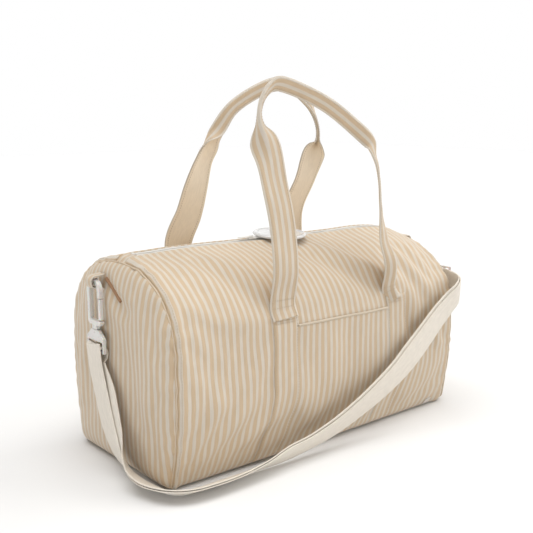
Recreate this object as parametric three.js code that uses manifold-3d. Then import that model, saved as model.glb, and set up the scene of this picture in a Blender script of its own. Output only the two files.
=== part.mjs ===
// Weekender bag: a soft barrel-topped duffel of striped fabric, with two carry handles, a zip along its
// crest, a slip pocket and a webbing shoulder strap on two plastic snap hooks.
// Millimetres. +X runs along the bag, -Y is the pocket side, +Z is up. The origin is the middle of the base.
import * as THREE from "three";
import { mergeVertices } from "three/addons/utils/BufferGeometryUtils.js";
import Module from "manifold-3d";

const wasm = await Module();
wasm.setup();

// ---------- driving dimensions ----------
const GAP = 0.3; // clearance between touching pieces
const HALF_LENGTH = 235; // from the middle to an end seam
const END_BULGE = 13; // how far an end panel domes out past its seam
const FABRIC = 1.2; // outer fabric with its backing
const LINING_FABRIC = 0.8;
const BOARD = 3; // base board

const BASE_HALF = 104; // half the depth of the flat base
const CORNER = 14; // radius of the lower edge
const SIDE_HALF = 116; // half the depth where the sides swell most
const SIDE_Z = 105; // height of that swell
const ARCH_HALF = 115;
const ARCH_Z = 150; // where the sides turn into the domed top
const CREST_Z = 252;
const ARCH_POWER = 2.3; // superellipse power of the dome
const RIGHT_END_DEPTH = 0.88; // the right end is slacker, so it is shallower than the left

const ZIP_HALF = 222; // half the length of the zip tape
const TAPE_IN = 2; // tape runs from here
const TAPE_OUT = 11; // to here, either side of the middle
const SLIDER_LONG = 12;
const SLIDERS_MEET_X = -38;
const DISC_X = -2;
const DISC_Y = -6;
const DISC_R = 35;
const DISC_Z = 255.8; // underside of the disc

const HANDLE_W = 38;
const HANDLE_LEFT_X = -80;
const HANDLE_RIGHT_X = 115;
const HANDLE_Z = 178; // height at which the sewn bands let the handles go free
const HANDLE_Y = 116.8; // depth of the handles' feet before the bag's own narrowing
const BAND_OUT = 1.3; // thickness of a sewn band

const POCKET_TOP = 165;
const POCKET_MOUTH = 8; // how far the pocket's mouth stands off the panel

const TAB_Z = 222;
const TAB_LEFT_Y = 22;
const TAB_RIGHT_Y = 10;
const HOOK_X = 256; // distance of the hooks' plane from the middle
const HOOK_R = 12; // centre-line radius of a hook's bow
const HOOK_WIRE = 6;
const RIGHT_HOOK_TILT = THREE.MathUtils.degToRad(-50);

const STRAP_W = 32;
const STRAP_T = 1.4;

const fabricColour = 0xd9bf9b;
const plainColour = 0xcdb99d;
const webbingColour = 0xe9e4d6;
const plasticColour = 0xf3f1ec;
const bag = new THREE.Group();

function add(name, geometry, colour, roughness = 0.8) {
  const material = new THREE.MeshStandardMaterial({ color: colour, roughness, metalness: 0 });
  const mesh = new THREE.Mesh(geometry, material);
  mesh.name = name;
  bag.add(mesh);
  return mesh;
}

// ---------- solids ----------
// A closed solid through rings that all have the same number of points, with flat caps at its two ends.
function loft(rings) {
  const count = rings[0].length;
  const positions = rings.flat().flatMap((p) => [p.x, p.y, p.z]);
  const indices = [];
  for (let r = 0; r + 1 < rings.length; r++) {
    for (let i = 0; i < count; i++) {
      const a = r * count + i;
      const b = r * count + ((i + 1) % count);
      indices.push(a, b, b + count, a, b + count, a + count);
    }
  }
  const cap = (ring, offset, flip) => {
    const middle = ring.reduce((sum, p) => sum.add(p), new THREE.Vector3()).divideScalar(count);
    const normal = new THREE.Vector3();
    ring.forEach((p, i) => {
      const q = ring[(i + 1) % count];
      normal.add(p.clone().sub(middle).cross(q.clone().sub(middle)));
    });
    normal.normalize();
    const u = ring[0].clone().sub(middle).projectOnPlane(normal).normalize();
    const v = normal.clone().cross(u);
    const flat = ring.map((p) => {
      const d = p.clone().sub(middle);
      return new THREE.Vector2(d.dot(u), d.dot(v));
    });
    for (const [a, b, c] of THREE.ShapeUtils.triangulateShape(flat, [])) {
      indices.push(...(flip ? [offset + a, offset + c, offset + b] : [offset + a, offset + b, offset + c]));
    }
  };
  cap(rings[0], 0, true);
  cap(rings.at(-1), (rings.length - 1) * count, false);
  const geometry = new THREE.BufferGeometry();
  geometry.setAttribute("position", new THREE.Float32BufferAttribute(positions, 3));
  geometry.setIndex(indices);
  return facingOut(geometry);
}

// Turns every face round if the solid's signed volume is negative.
function facingOut(geometry) {
  const p = geometry.attributes.position;
  const index = geometry.index.array;
  const corner = (i) => new THREE.Vector3().fromBufferAttribute(p, index[i]);
  let volume = 0;
  for (let i = 0; i < index.length; i += 3) {
    volume += corner(i).dot(corner(i + 1).cross(corner(i + 2)));
  }
  if (volume < 0) {
    for (let i = 0; i < index.length; i += 3) {
      [index[i + 1], index[i + 2]] = [index[i + 2], index[i + 1]];
    }
  }
  return geometry;
}

function toManifold(geometry) {
  const bare = (geometry.index ? geometry.toNonIndexed() : geometry).clone();
  bare.deleteAttribute("normal");
  bare.deleteAttribute("uv");
  const merged = mergeVertices(bare, 1e-3);
  return new wasm.Manifold(
    new wasm.Mesh({
      numProp: 3,
      vertProperties: merged.attributes.position.array,
      triVerts: new Uint32Array(merged.index.array),
    }),
  );
}

function fromManifold(solid) {
  const mesh = solid.getMesh();
  const positions = new Float32Array(mesh.numVert * 3);
  for (let i = 0; i < mesh.numVert; i++) {
    positions.set(mesh.vertProperties.subarray(i * mesh.numProp, i * mesh.numProp + 3), i * 3);
  }
  const geometry = new THREE.BufferGeometry();
  geometry.setAttribute("position", new THREE.BufferAttribute(positions, 3));
  geometry.setIndex(new THREE.BufferAttribute(mesh.triVerts, 1));
  return geometry;
}

function box(x0, x1, y0, y1, z0, z1) {
  const geometry = new THREE.BoxGeometry(x1 - x0, y1 - y0, z1 - z0);
  return geometry.translate((x0 + x1) / 2, (y0 + y1) / 2, (z0 + z1) / 2);
}

function plate(shape, thickness, curveSegments = 8) {
  const options = { depth: thickness, bevelEnabled: false, curveSegments };
  return new THREE.ExtrudeGeometry(shape, options).translate(0, 0, -thickness / 2);
}

function rectanglePath(path, x0, x1, y0, y1) {
  path.moveTo(x0, y0);
  path.lineTo(x1, y0);
  path.lineTo(x1, y1);
  path.lineTo(x0, y1);
  path.closePath();
  return path;
}

// ---------- the bag's cross-section ----------
// One half of the outline, from the edge of the flat base, round the lower corner, up the swelling side
// and over the dome to the crest, as (depth, height) with the depth positive.
function halfOutline() {
  const points = [];
  for (let i = 0; i <= 4; i++) {
    const a = (i / 4) * (Math.PI / 2);
    points.push([BASE_HALF - CORNER + CORNER * Math.sin(a), CORNER - CORNER * Math.cos(a)]);
  }
  for (let i = 1; i <= 8; i++) {
    const z = CORNER + ((ARCH_Z - CORNER) * i) / 8;
    points.push([sideDepth(z), z]);
  }
  for (let i = 1; i <= 14; i++) {
    const a = (i / 14) * (Math.PI / 2);
    const y = ARCH_HALF * Math.cos(a) ** (2 / ARCH_POWER);
    points.push([y, ARCH_Z + (CREST_Z - ARCH_Z) * Math.sin(a) ** (2 / ARCH_POWER)]);
  }
  return points;
}

// Depth of the side between the lower corner and the dome: a smooth swell through the driving depths.
function sideDepth(z) {
  if (z < SIDE_Z) {
    const t = (z - CORNER) / (SIDE_Z - CORNER);
    return BASE_HALF + (SIDE_HALF - BASE_HALF) * Math.sin((t * Math.PI) / 2);
  }
  const t = (z - SIDE_Z) / (ARCH_Z - SIDE_Z);
  return SIDE_HALF + (ARCH_HALF - SIDE_HALF) * t * t;
}

// The outline moved inwards by a distance, point by point along its own normals.
function offsetOutline(points, inward) {
  return points.map(([y, z], i) => {
    const [y0, z0] = points[Math.max(0, i - 1)];
    const [y1, z1] = points[Math.min(points.length - 1, i + 1)];
    const length = Math.hypot(y1 - y0, z1 - z0);
    return [y - ((z1 - z0) / length) * inward, z + ((y1 - y0) / length) * inward];
  });
}

const OUTLINE = halfOutline();

// How deep the bag is at x, against its depth at the left end.
function depthScale(x) {
  const t = THREE.MathUtils.clamp((x + HALF_LENGTH) / (2 * HALF_LENGTH), 0, 1);
  return 1 - (1 - RIGHT_END_DEPTH) * t * t;
}

// The part of the outline between two heights, cut exactly at both.
function outlineBetween(zLow, zHigh, inward) {
  const points = offsetOutline(OUTLINE, inward);
  const cut = [];
  for (let i = 0; i + 1 < points.length; i++) {
    const [[y0, z0], [y1, z1]] = [points[i], points[i + 1]];
    const at = (z) => [y0 + ((y1 - y0) * (z - z0)) / (z1 - z0), z];
    if (z0 < zLow && z1 > zLow) cut.push(at(zLow));
    if (z0 >= zLow && z0 <= zHigh) cut.push([y0, z0]);
    if (z0 < zHigh && z1 > zHigh) cut.push(at(zHigh));
  }
  return cut;
}

// A strip of the bag's skin on one side: between two depths under the outline, from x0 to x1.
function skinStrip({ side, x0, x1, out, thickness, zLow, zHigh, standOff = () => 0, steps = 6 }) {
  const outer = outlineBetween(zLow, zHigh, out);
  const inner = outlineBetween(zLow, zHigh, out + thickness);
  const n = Math.min(outer.length, inner.length);
  const rings = [];
  for (let i = 0; i <= steps; i++) {
    const x = x0 + ((x1 - x0) * i) / steps;
    const k = depthScale(x) * side;
    const place = ([y, z]) => new THREE.Vector3(x, (y + standOff(z)) * k, z);
    rings.push([...outer.slice(0, n).map(place), ...inner.slice(0, n).reverse().map(place)]);
  }
  return loft(rings);
}

// ---------- panels ----------
function topEdge(inward) {
  return [TAPE_OUT + GAP, CREST_Z - inward];
}

const PANEL_STEPS = 5;
function sidePanel(side) {
  const rings = [];
  const outer = [...OUTLINE.filter(([y]) => y > TAPE_OUT + 4), topEdge(0.2)];
  const inner = offsetOutline(outer.slice(0, -1), FABRIC).concat([topEdge(0.2 + FABRIC)]);
  for (let i = 0; i <= PANEL_STEPS; i++) {
    const x = -HALF_LENGTH + (2 * HALF_LENGTH * i) / PANEL_STEPS;
    const k = depthScale(x);
    const place = ([y, z]) => {
      const depth = y > TAPE_OUT + 1 ? y * k : y;
      return new THREE.Vector3(x, depth * side, z);
    };
    rings.push([...outer.map(place), ...inner.toReversed().map(place)]);
  }
  return loft(rings);
}

add("front_panel", sidePanel(-1), fabricColour);
add("back_panel", sidePanel(1), fabricColour);

const baseEdge = BASE_HALF - CORNER - 1;
function baseSheet(z0, z1, halfLength, half) {
  const corners = (x) => [
    new THREE.Vector3(x, -half * depthScale(x), z0),
    new THREE.Vector3(x, half * depthScale(x), z0),
    new THREE.Vector3(x, half * depthScale(x), z1),
    new THREE.Vector3(x, -half * depthScale(x), z1),
  ];
  const rings = [];
  for (let i = 0; i <= 6; i++) {
    rings.push(corners(-halfLength + (2 * halfLength * i) / 6));
  }
  return loft(rings);
}
add("base_panel", baseSheet(0, FABRIC, HALF_LENGTH, baseEdge), fabricColour);

// ---------- end panels ----------
// The full outline at one x, shrunk towards the middle of its height.
function fullOutline(x, shrink, inward = 0) {
  const half = offsetOutline(OUTLINE, inward);
  const middle = 100;
  const k = depthScale(x);
  const place = (side) => ([y, z]) =>
    new THREE.Vector3(x, side * y * k * shrink, middle + (z - middle) * shrink);
  return [...half.map(place(1)), ...half.slice(0, -1).reverse().map(place(-1))];
}

const DOME = [
  [0, 1],
  [0.45, 0.965],
  [0.75, 0.9],
  [0.93, 0.78],
  [1, 0.55],
];

function endPanel(side) {
  const start = HALF_LENGTH + GAP;
  const outer = DOME.map(([out, shrink]) => fullOutline(side * (start + out * END_BULGE), shrink));
  const inner = DOME.map(([out, shrink]) => {
    const x = start - 1 + out * (END_BULGE - FABRIC + 1);
    return fullOutline(side * x, shrink - 0.012);
  });
  const shell = toManifold(loft(outer)).subtract(toManifold(loft(inner)));
  return fromManifold(shell);
}
add("end_panel_left", endPanel(-1), fabricColour);
add("end_panel_right", endPanel(1), fabricColour);

// The folded seam that joins an end panel to the body: a thin roll lying over the joint.
function seamRoll(side) {
  const x = side * (HALF_LENGTH + 0.6);
  const k = depthScale(x);
  const lift = 2.3;
  const line = offsetOutline(OUTLINE, -lift).filter(([, z]) => z > CORNER);
  const route = [...line, ...line.slice(0, -1).reverse().map(([y, z]) => [-y, z])];
  const radius = 1.6;
  const rings = route.map(([y, z], i) => {
    const [y0, z0] = route[Math.max(0, i - 1)];
    const [y1, z1] = route[Math.min(route.length - 1, i + 1)];
    const along = new THREE.Vector3(0, (y1 - y0) * k, z1 - z0).normalize();
    const across = new THREE.Vector3(1, 0, 0).cross(along);
    return Array.from({ length: 6 }, (_, s) => {
      const a = (s / 6) * 2 * Math.PI;
      return new THREE.Vector3(x, y * k, z)
        .addScaledVector(across, radius * Math.sin(a))
        .add(new THREE.Vector3(radius * Math.cos(a), 0, 0));
    });
  });
  return loft(rings);
}
add("end_seam_left", seamRoll(-1), fabricColour);
add("end_seam_right", seamRoll(1), fabricColour);

// ---------- inside ----------
const LINING_IN = FABRIC + GAP + 0.6;
const LINING_HALF_LENGTH = HALF_LENGTH - 2;
const BOARD_Z = FABRIC + GAP;
const LINING_Z = BOARD_Z + BOARD + GAP;

function liningSolid(inward, halfLength, floor) {
  const rings = [];
  for (let i = 0; i <= 6; i++) {
    const x = -halfLength + (2 * halfLength * i) / 6;
    rings.push(fullOutline(x, 1, inward));
  }
  const body = toManifold(loft(rings));
  return body.subtract(toManifold(box(-300, 300, -200, 200, -50, floor)));
}

const liningOuter = liningSolid(LINING_IN, LINING_HALF_LENGTH, LINING_Z);
const liningInner = liningSolid(
  LINING_IN + LINING_FABRIC,
  LINING_HALF_LENGTH - LINING_FABRIC,
  LINING_Z + LINING_FABRIC,
);
const mouth = toManifold(
  box(-ZIP_HALF + 8, ZIP_HALF - 8, -TAPE_OUT + 1, TAPE_OUT - 1, CREST_Z - 30, CREST_Z + 10),
);
add("lining", fromManifold(liningOuter.subtract(liningInner).subtract(mouth)), plainColour);
add(
  "base_board",
  baseSheet(BOARD_Z, BOARD_Z + BOARD, HALF_LENGTH - 4, baseEdge - 3),
  0x8c8274,
);

// ---------- zip ----------
const TAPE_TOP = CREST_Z - 0.2;
const TAPE = 0.8;
const COIL_TOP = TAPE_TOP + 1.4;
for (const [name, side] of [["front", -1], ["back", 1]]) {
  const [y0, y1] = side < 0 ? [-TAPE_OUT, -TAPE_IN] : [TAPE_IN, TAPE_OUT];
  add(`zip_tape_${name}`, box(-ZIP_HALF, ZIP_HALF, y0, y1, TAPE_TOP - TAPE, TAPE_TOP), webbingColour);
  const [c0, c1] = side < 0 ? [-TAPE_IN + GAP, -0.15] : [0.15, TAPE_IN - GAP];
  add(`zip_coil_${name}`, box(-215, 215, c0, c1, TAPE_TOP - TAPE, COIL_TOP), webbingColour);
}
for (const [name, side] of [["left", -1], ["right", 1]]) {
  const [s0, s1] = side < 0 ? [-219, -215.3] : [215.3, 219];
  const stop = box(s0, s1, -TAPE_IN + GAP, TAPE_IN - GAP, TAPE_TOP - TAPE, COIL_TOP);
  add(`zip_stop_${name}`, stop, plasticColour, 0.4);
  const [p0, p1] = side < 0 ? [-HALF_LENGTH, -ZIP_HALF - GAP] : [ZIP_HALF + GAP, HALF_LENGTH];
  add(`zip_end_patch_${name}`, box(p0, p1, -TAPE_OUT, TAPE_OUT, TAPE_TOP - TAPE, TAPE_TOP), fabricColour);
}

const EYE = 2.7; // height of the pull's eye above the slider's underside
const EYE_RADIUS = 0.85;
const BRIDGE_TOP = 3.8;
const BRIDGE_HALF_LONG = 2.6;
const BRIDGE_HALF_WIDE = 1.1;
const SLIDER_NOSE = 2.6;
const SLIDER_WING = 4.2;
const SLIDER_PLATE = 1.6;
const SLIDER_LOW = COIL_TOP + GAP;
// A slider's top shell: a tapered plate that narrows towards its back.
function sliderPlate(x, turn) {
  const shape = new THREE.Shape();
  const half = SLIDER_LONG / 2 - GAP;
  shape.moveTo(-half, -SLIDER_NOSE);
  shape.lineTo(half * 0.3, -SLIDER_WING);
  shape.lineTo(half, -SLIDER_WING);
  shape.lineTo(half, SLIDER_WING);
  shape.lineTo(half * 0.3, SLIDER_WING);
  shape.lineTo(-half, SLIDER_NOSE);
  shape.closePath();
  return plate(shape, SLIDER_PLATE).rotateZ(turn).translate(x, 0, SLIDER_LOW + SLIDER_PLATE / 2);
}

// The left slider also carries a raised bridge, with an eye through it for its pull.
function bridgedSlider(x) {
  const body = toManifold(sliderPlate(x, 0));
  const [x0, x1] = [x - BRIDGE_HALF_LONG, x + BRIDGE_HALF_LONG];
  const [z0, z1] = [SLIDER_LOW + 1, SLIDER_LOW + BRIDGE_TOP];
  const bridge = toManifold(box(x0, x1, -BRIDGE_HALF_WIDE, BRIDGE_HALF_WIDE, z0, z1));
  const eye = toManifold(
    new THREE.CylinderGeometry(EYE_RADIUS, EYE_RADIUS, 6, 12).translate(x, 0, SLIDER_LOW + EYE),
  );
  return fromManifold(body.add(bridge).subtract(eye));
}
const sliderLeftX = SLIDERS_MEET_X - SLIDER_LONG / 2;
const sliderRightX = SLIDERS_MEET_X + SLIDER_LONG / 2;
add("zip_slider_left", bridgedSlider(sliderLeftX), plasticColour, 0.4);
add("zip_slider_right", sliderPlate(sliderRightX, Math.PI), plasticColour, 0.4);

// The small pull on the left slider: two side arms on a cross pin, and a rounded tongue lying flat.
const PULL_Z = SLIDER_LOW + EYE;
const PULL_LONG = 18;
const PULL_HALF = 3.2;
const FORK_REACH = 0.7;
const FORK_HALF = 1.5;
const FORK_DEEP = 5;
const PIN_RADIUS = 0.5;
function pull(x) {
  const shape = new THREE.Shape();
  shape.moveTo(FORK_REACH, FORK_HALF);
  shape.lineTo(FORK_REACH, PULL_HALF);
  shape.lineTo(-PULL_LONG, PULL_HALF);
  shape.absarc(-PULL_LONG, 0, PULL_HALF, Math.PI / 2, (3 * Math.PI) / 2, false);
  shape.lineTo(FORK_REACH, -PULL_HALF);
  shape.lineTo(FORK_REACH, -FORK_HALF);
  shape.lineTo(-FORK_DEEP, -FORK_HALF);
  shape.lineTo(-FORK_DEEP, FORK_HALF);
  shape.closePath();
  const tongue = toManifold(plate(shape, 1).translate(x, 0, PULL_Z));
  const pin = toManifold(
    new THREE.CylinderGeometry(PIN_RADIUS, PIN_RADIUS, 5, 12).translate(x, 0, PULL_Z),
  );
  return fromManifold(tongue.add(pin));
}
add("zip_pull_left", pull(sliderLeftX), plasticColour, 0.4);

// ---------- round disc on the crest ----------
const discProfile = [
  [0, 0],
  [DISC_R - 3, 0],
  [DISC_R - 0.6, 0.9],
  [DISC_R, 2.4],
  [DISC_R - 0.8, 3.8],
  [DISC_R - 3, 4.4],
  [DISC_R - 6, 3.8],
  [15, 4.6],
  [0, 4.6],
].map(([r, z]) => new THREE.Vector2(r, z));
const discSolid = toManifold(
  new THREE.LatheGeometry(discProfile, 32).rotateX(Math.PI / 2).translate(DISC_X, DISC_Y, DISC_Z),
);
const lugLow = SLIDER_LOW + SLIDER_PLATE + GAP;
const lug = toManifold(box(sliderRightX - 1, sliderRightX + 7, -2.5, 2.5, lugLow, DISC_Z + 1));
add("top_disc", fromManifold(discSolid.add(lug)), plasticColour, 0.25);
const bossProfile = [
  [0, 0],
  [13, 0],
  [12.2, 3.2],
  [10, 4.6],
  [0, 5],
].map(([r, z]) => new THREE.Vector2(r, z));
const bossZ = DISC_Z + 4.6 + GAP;
const bossSolid = new THREE.LatheGeometry(bossProfile, 24).rotateX(Math.PI / 2);
add("top_disc_boss", bossSolid.translate(DISC_X, DISC_Y, bossZ), plasticColour, 0.25);

// ---------- sewn bands, pocket and label ----------
const BAND_LOW = 5;
const bandSides = [["front", -1], ["back", 1]];
const bandPlaces = [["left", HANDLE_LEFT_X], ["right", HANDLE_RIGHT_X]];
for (const [face, side] of bandSides) {
  for (const [name, x] of bandPlaces) {
    const band = skinStrip({
      side,
      x0: x - HANDLE_W / 2,
      x1: x + HANDLE_W / 2,
      out: -GAP - BAND_OUT,
      thickness: BAND_OUT,
      zLow: BAND_LOW,
      zHigh: HANDLE_Z - 1,
      steps: 2,
    });
    add(`${face}_band_${name}`, band, fabricColour);
  }
}

// The pocket lies against the panel low down and stands off it at its mouth.
function pocketStandOff(z) {
  const t = THREE.MathUtils.smoothstep(z, 55, 112);
  return POCKET_MOUTH * t;
}
const hemLow = ARCH_Z + 5;
const pocketX0 = HANDLE_LEFT_X + HANDLE_W / 2 + GAP;
const pocketX1 = HANDLE_RIGHT_X - HANDLE_W / 2 - GAP;
add(
  "front_pocket",
  skinStrip({
    side: -1,
    x0: pocketX0,
    x1: pocketX1,
    out: -GAP - FABRIC,
    thickness: FABRIC,
    zLow: BAND_LOW,
    zHigh: hemLow - GAP,
    standOff: pocketStandOff,
    steps: 4,
  }),
  fabricColour,
);
function pocketHem() {
  const rings = [];
  for (let i = 0; i <= 4; i++) {
    const x = pocketX0 + ((pocketX1 - pocketX0) * i) / 4;
    const k = depthScale(x);
    const inner = (ARCH_HALF + POCKET_MOUTH + GAP) * k;
    const outer = (ARCH_HALF + POCKET_MOUTH + 1.6 + GAP) * k;
    rings.push([
      new THREE.Vector3(x, -outer, hemLow),
      new THREE.Vector3(x, -inner, hemLow),
      new THREE.Vector3(x, -inner, POCKET_TOP),
      new THREE.Vector3(x, -outer, POCKET_TOP),
    ]);
  }
  return loft(rings);
}
add("pocket_hem", pocketHem(), 0xf0e6d2);

// ---------- handles ----------
// A flat solid along hand-placed stations: where it runs, which way its face looks, its width and
// its thickness. shift moves it along its face direction, so that two layers lie face to face.
function ribbon(stations, steps, { narrow = 0, thickness, shift = () => 0, slide = () => 0 }) {
  const curve = (pick) => new THREE.CatmullRomCurve3(stations.map(pick), false, "centripetal");
  const route = curve((s) => new THREE.Vector3(...s.at));
  const faces = new THREE.CatmullRomCurve3(stations.map((s) => new THREE.Vector3(...s.face)));
  const sizes = stations.map((s) => new THREE.Vector3(s.wide, s.thick ?? 0, 0));
  const widths = new THREE.CatmullRomCurve3(sizes);
  const rings = [];
  for (let i = 0; i <= steps; i++) {
    const t = i / steps;
    const along = route.getTangent(t);
    const face = faces.getPoint(t).projectOnPlane(along).normalize();
    const across = face.clone().cross(along).normalize();
    const size = widths.getPoint(t);
    const half = size.x / 2 - narrow;
    const thick = thickness ?? size.y;
    const middle = route
      .getPoint(t)
      .addScaledVector(face, shift(t, size))
      .addScaledVector(across, slide(t));
    const ring = [
      [-half, -thick / 2],
      [0, -thick / 2],
      [half, -thick / 2],
      [half, thick / 2],
      [0, thick / 2],
      [-half, thick / 2],
    ].map(([a, f]) => middle.clone().addScaledVector(across, a).addScaledVector(face, f));
    rings.push(ring);
  }
  return loft(rings);
}

const station = (x, y, z, faceX, faceY, wide, thick) => ({
  at: [x, y, z],
  face: [faceX, faceY, 0],
  wide,
  thick,
});
const LEG = 1.2; // thickness of one layer of a handle's leg
const GRIP = 2.6; // thickness of half of the folded grip
const frontStations = [
  station(HANDLE_LEFT_X, -HANDLE_Y * depthScale(HANDLE_LEFT_X), HANDLE_Z, 0, -1, HANDLE_W, LEG),
  station(-79, -109, 235, 0, -1, HANDLE_W, LEG),
  station(-77, -99, 300, 0, -1, HANDLE_W, LEG),
  station(-76, -89, 345, -0.1, -1, 36, LEG),
  station(-79, -82, 370, -0.3, -0.9, 29, 1.8),
  station(-84, -78, 392, -0.6, -0.8, 20, GRIP),
  station(-85, -76, 414, -0.7, -0.7, 18, GRIP),
  station(-79, -75, 434, -0.5, -0.8, 18, GRIP),
  station(-64, -75, 445, -0.2, -1, 18, GRIP),
  station(-25, -75, 436, 0, -1, 18, GRIP),
  station(19, -75, 417, 0, -1, 18, GRIP),
  station(66, -75, 393, 0, -1, 18, GRIP),
  station(91, -76, 374, 0.3, -0.9, 20, GRIP),
  station(103, -79, 345, 0.7, -0.7, 28, 1.8),
  station(110, -86, 305, 0.7, -0.7, 36, LEG),
  station(114, -98, 255, 0.5, -0.85, HANDLE_W, LEG),
  station(116, -105, 215, 0.2, -1, HANDLE_W, LEG),
  station(HANDLE_RIGHT_X, -HANDLE_Y * depthScale(HANDLE_RIGHT_X), HANDLE_Z, 0, -1, HANDLE_W, LEG),
];
const backStations = [
  station(HANDLE_LEFT_X, HANDLE_Y * depthScale(HANDLE_LEFT_X), HANDLE_Z, 0, 1, HANDLE_W, LEG),
  station(-79, 107, 235, 0, 1, HANDLE_W, LEG),
  station(-78, 92, 300, 0.1, 1, HANDLE_W, LEG),
  station(-78, 76, 340, 0.2, 0.95, 34, LEG),
  station(-74, 66, 367, 0.2, 0.95, 27, 1.8),
  station(-60, 60, 393, 0, 1, 19, GRIP),
  station(-35, 57, 416, 0, 1, 18, GRIP),
  station(0, 55, 436, 0, 1, 18, GRIP),
  station(40, 54, 446, 0, 1, 18, GRIP),
  station(76, 54, 442, 0, 1, 18, GRIP),
  station(99, 54, 424, -0.4, 0.9, 18, GRIP),
  station(112, 55, 398, -0.7, 0.7, 19, GRIP),
  station(118, 58, 372, -0.6, 0.8, 26, 1.8),
  station(117, 66, 342, -0.1, 1, 36, LEG),
  station(115, 84, 297, 0, 1, HANDLE_W, LEG),
  station(115, 100, 235, 0, 1, HANDLE_W, LEG),
  station(HANDLE_RIGHT_X, HANDLE_Y * depthScale(HANDLE_RIGHT_X), HANDLE_Z, 0, 1, HANDLE_W, LEG),
];
for (const [name, stations] of [["front", frontStations], ["back", backStations]]) {
  const apart = (size) => GAP + 0.25 * (size.y - LEG);
  const outward = (t, size) => size.y / 2 + apart(size);
  const inward = (t, size) => -size.y / 2 - apart(size);
  add(`handle_${name}`, ribbon(stations, 56, { shift: outward }), fabricColour);
  add(`handle_${name}_lining`, ribbon(stations, 56, { shift: inward, narrow: 0.8 }), plainColour);
}

// ---------- tabs and hooks ----------
// A fabric loop that stands out of an end panel; its hole runs across it, along Y.
function tab(side, y) {
  const shape = new THREE.Shape();
  const root = HALF_LENGTH + END_BULGE + 2 * GAP;
  const tip = HOOK_X + 8;
  const high = 7;
  const low = -8.6;
  rectanglePath(shape, root, tip, low, high);
  shape.holes.push(rectanglePath(new THREE.Path(), root + 1.4, tip - 1.4, low + 1.4, high - 1.4));
  return plate(shape, 14)
    .rotateX(Math.PI / 2)
    .rotateZ(side < 0 ? Math.PI : 0)
    .translate(0, y, TAB_Z);
}
add("end_tab_left", tab(-1, TAB_LEFT_Y), fabricColour);
add("end_tab_right", tab(1, TAB_RIGHT_Y), fabricColour);

// A snap hook hangs along -Z from the middle of its round bow. Its spine is on the +Y side when spine is 1.
const SPINE_LOW = -34;
const GATE_TOP = -7.4;
const GATE_LOW = -32.5;
const NECK_LOW = -45;
function hookBody(spine) {
  const r0 = HOOK_R - HOOK_WIRE / 2;
  const r1 = HOOK_R + HOOK_WIRE / 2;
  const shape = new THREE.Shape();
  shape.moveTo(r0, 0);
  shape.absarc(0, 0, r0, 0, Math.PI, false);
  shape.lineTo(-r0, GATE_TOP + GAP);
  shape.lineTo(-r1, GATE_TOP + GAP);
  shape.lineTo(-r1, 0);
  shape.absarc(0, 0, r1, Math.PI, 0, true);
  shape.lineTo(r1, SPINE_LOW - 2);
  shape.lineTo(r1 - 4, SPINE_LOW - 6);
  shape.lineTo(5, SPINE_LOW - 6);
  shape.lineTo(5, NECK_LOW);
  shape.lineTo(-5, NECK_LOW);
  shape.lineTo(-5, SPINE_LOW - 6);
  shape.lineTo(-r1 + 3, SPINE_LOW - 6);
  shape.lineTo(-r1, SPINE_LOW - 2);
  shape.lineTo(-r1, SPINE_LOW);
  shape.lineTo(r0, SPINE_LOW);
  shape.closePath();
  return standing(plate(shape, HOOK_WIRE, 12), spine);
}

// Turns a plate drawn in (Y, Z) so that it stands in the YZ plane.
function standing(geometry, spine) {
  const upright = geometry.rotateX(Math.PI / 2).rotateZ(Math.PI / 2);
  return spine > 0 ? upright : upright.rotateZ(Math.PI);
}

function hookGate() {
  const r0 = HOOK_R - HOOK_WIRE / 2 + 0.6;
  const r1 = HOOK_R + HOOK_WIRE / 2 - 0.4;
  const shape = new THREE.Shape();
  rectanglePath(shape, -r1, -r0, GATE_LOW, GATE_TOP - GAP);
  return shape;
}

function hookBase() {
  const shape = new THREE.Shape();
  const half = STRAP_W / 2 + 3;
  const top = NECK_LOW - GAP;
  shape.moveTo(-8, top);
  shape.lineTo(8, top);
  shape.lineTo(half, top - 9);
  shape.lineTo(half, top - 27);
  shape.lineTo(-half, top - 27);
  shape.lineTo(-half, top - 9);
  shape.closePath();
  const slot = STRAP_W / 2 + 0.6;
  shape.holes.push(rectanglePath(new THREE.Path(), -slot, slot, top - 23.5, top - 14));
  return shape;
}

const hooks = [
  { name: "left", x: -HOOK_X, y: TAB_LEFT_Y, tilt: 0, spine: 1 },
  { name: "right", x: HOOK_X, y: TAB_RIGHT_Y, tilt: RIGHT_HOOK_TILT, spine: -1 },
];
for (const { name, x, y, tilt, spine } of hooks) {
  const hang = (geometry) => geometry.rotateX(tilt).translate(x, y, TAB_Z - HOOK_R);
  add(`hook_${name}_body`, hang(hookBody(spine)), plasticColour, 0.35);
  add(`hook_${name}_gate`, hang(standing(plate(hookGate(), 4.4), spine)), plasticColour, 0.35);
  add(`hook_${name}_base`, hang(standing(plate(hookBase(), 5), spine)), plasticColour, 0.35);
}

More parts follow.
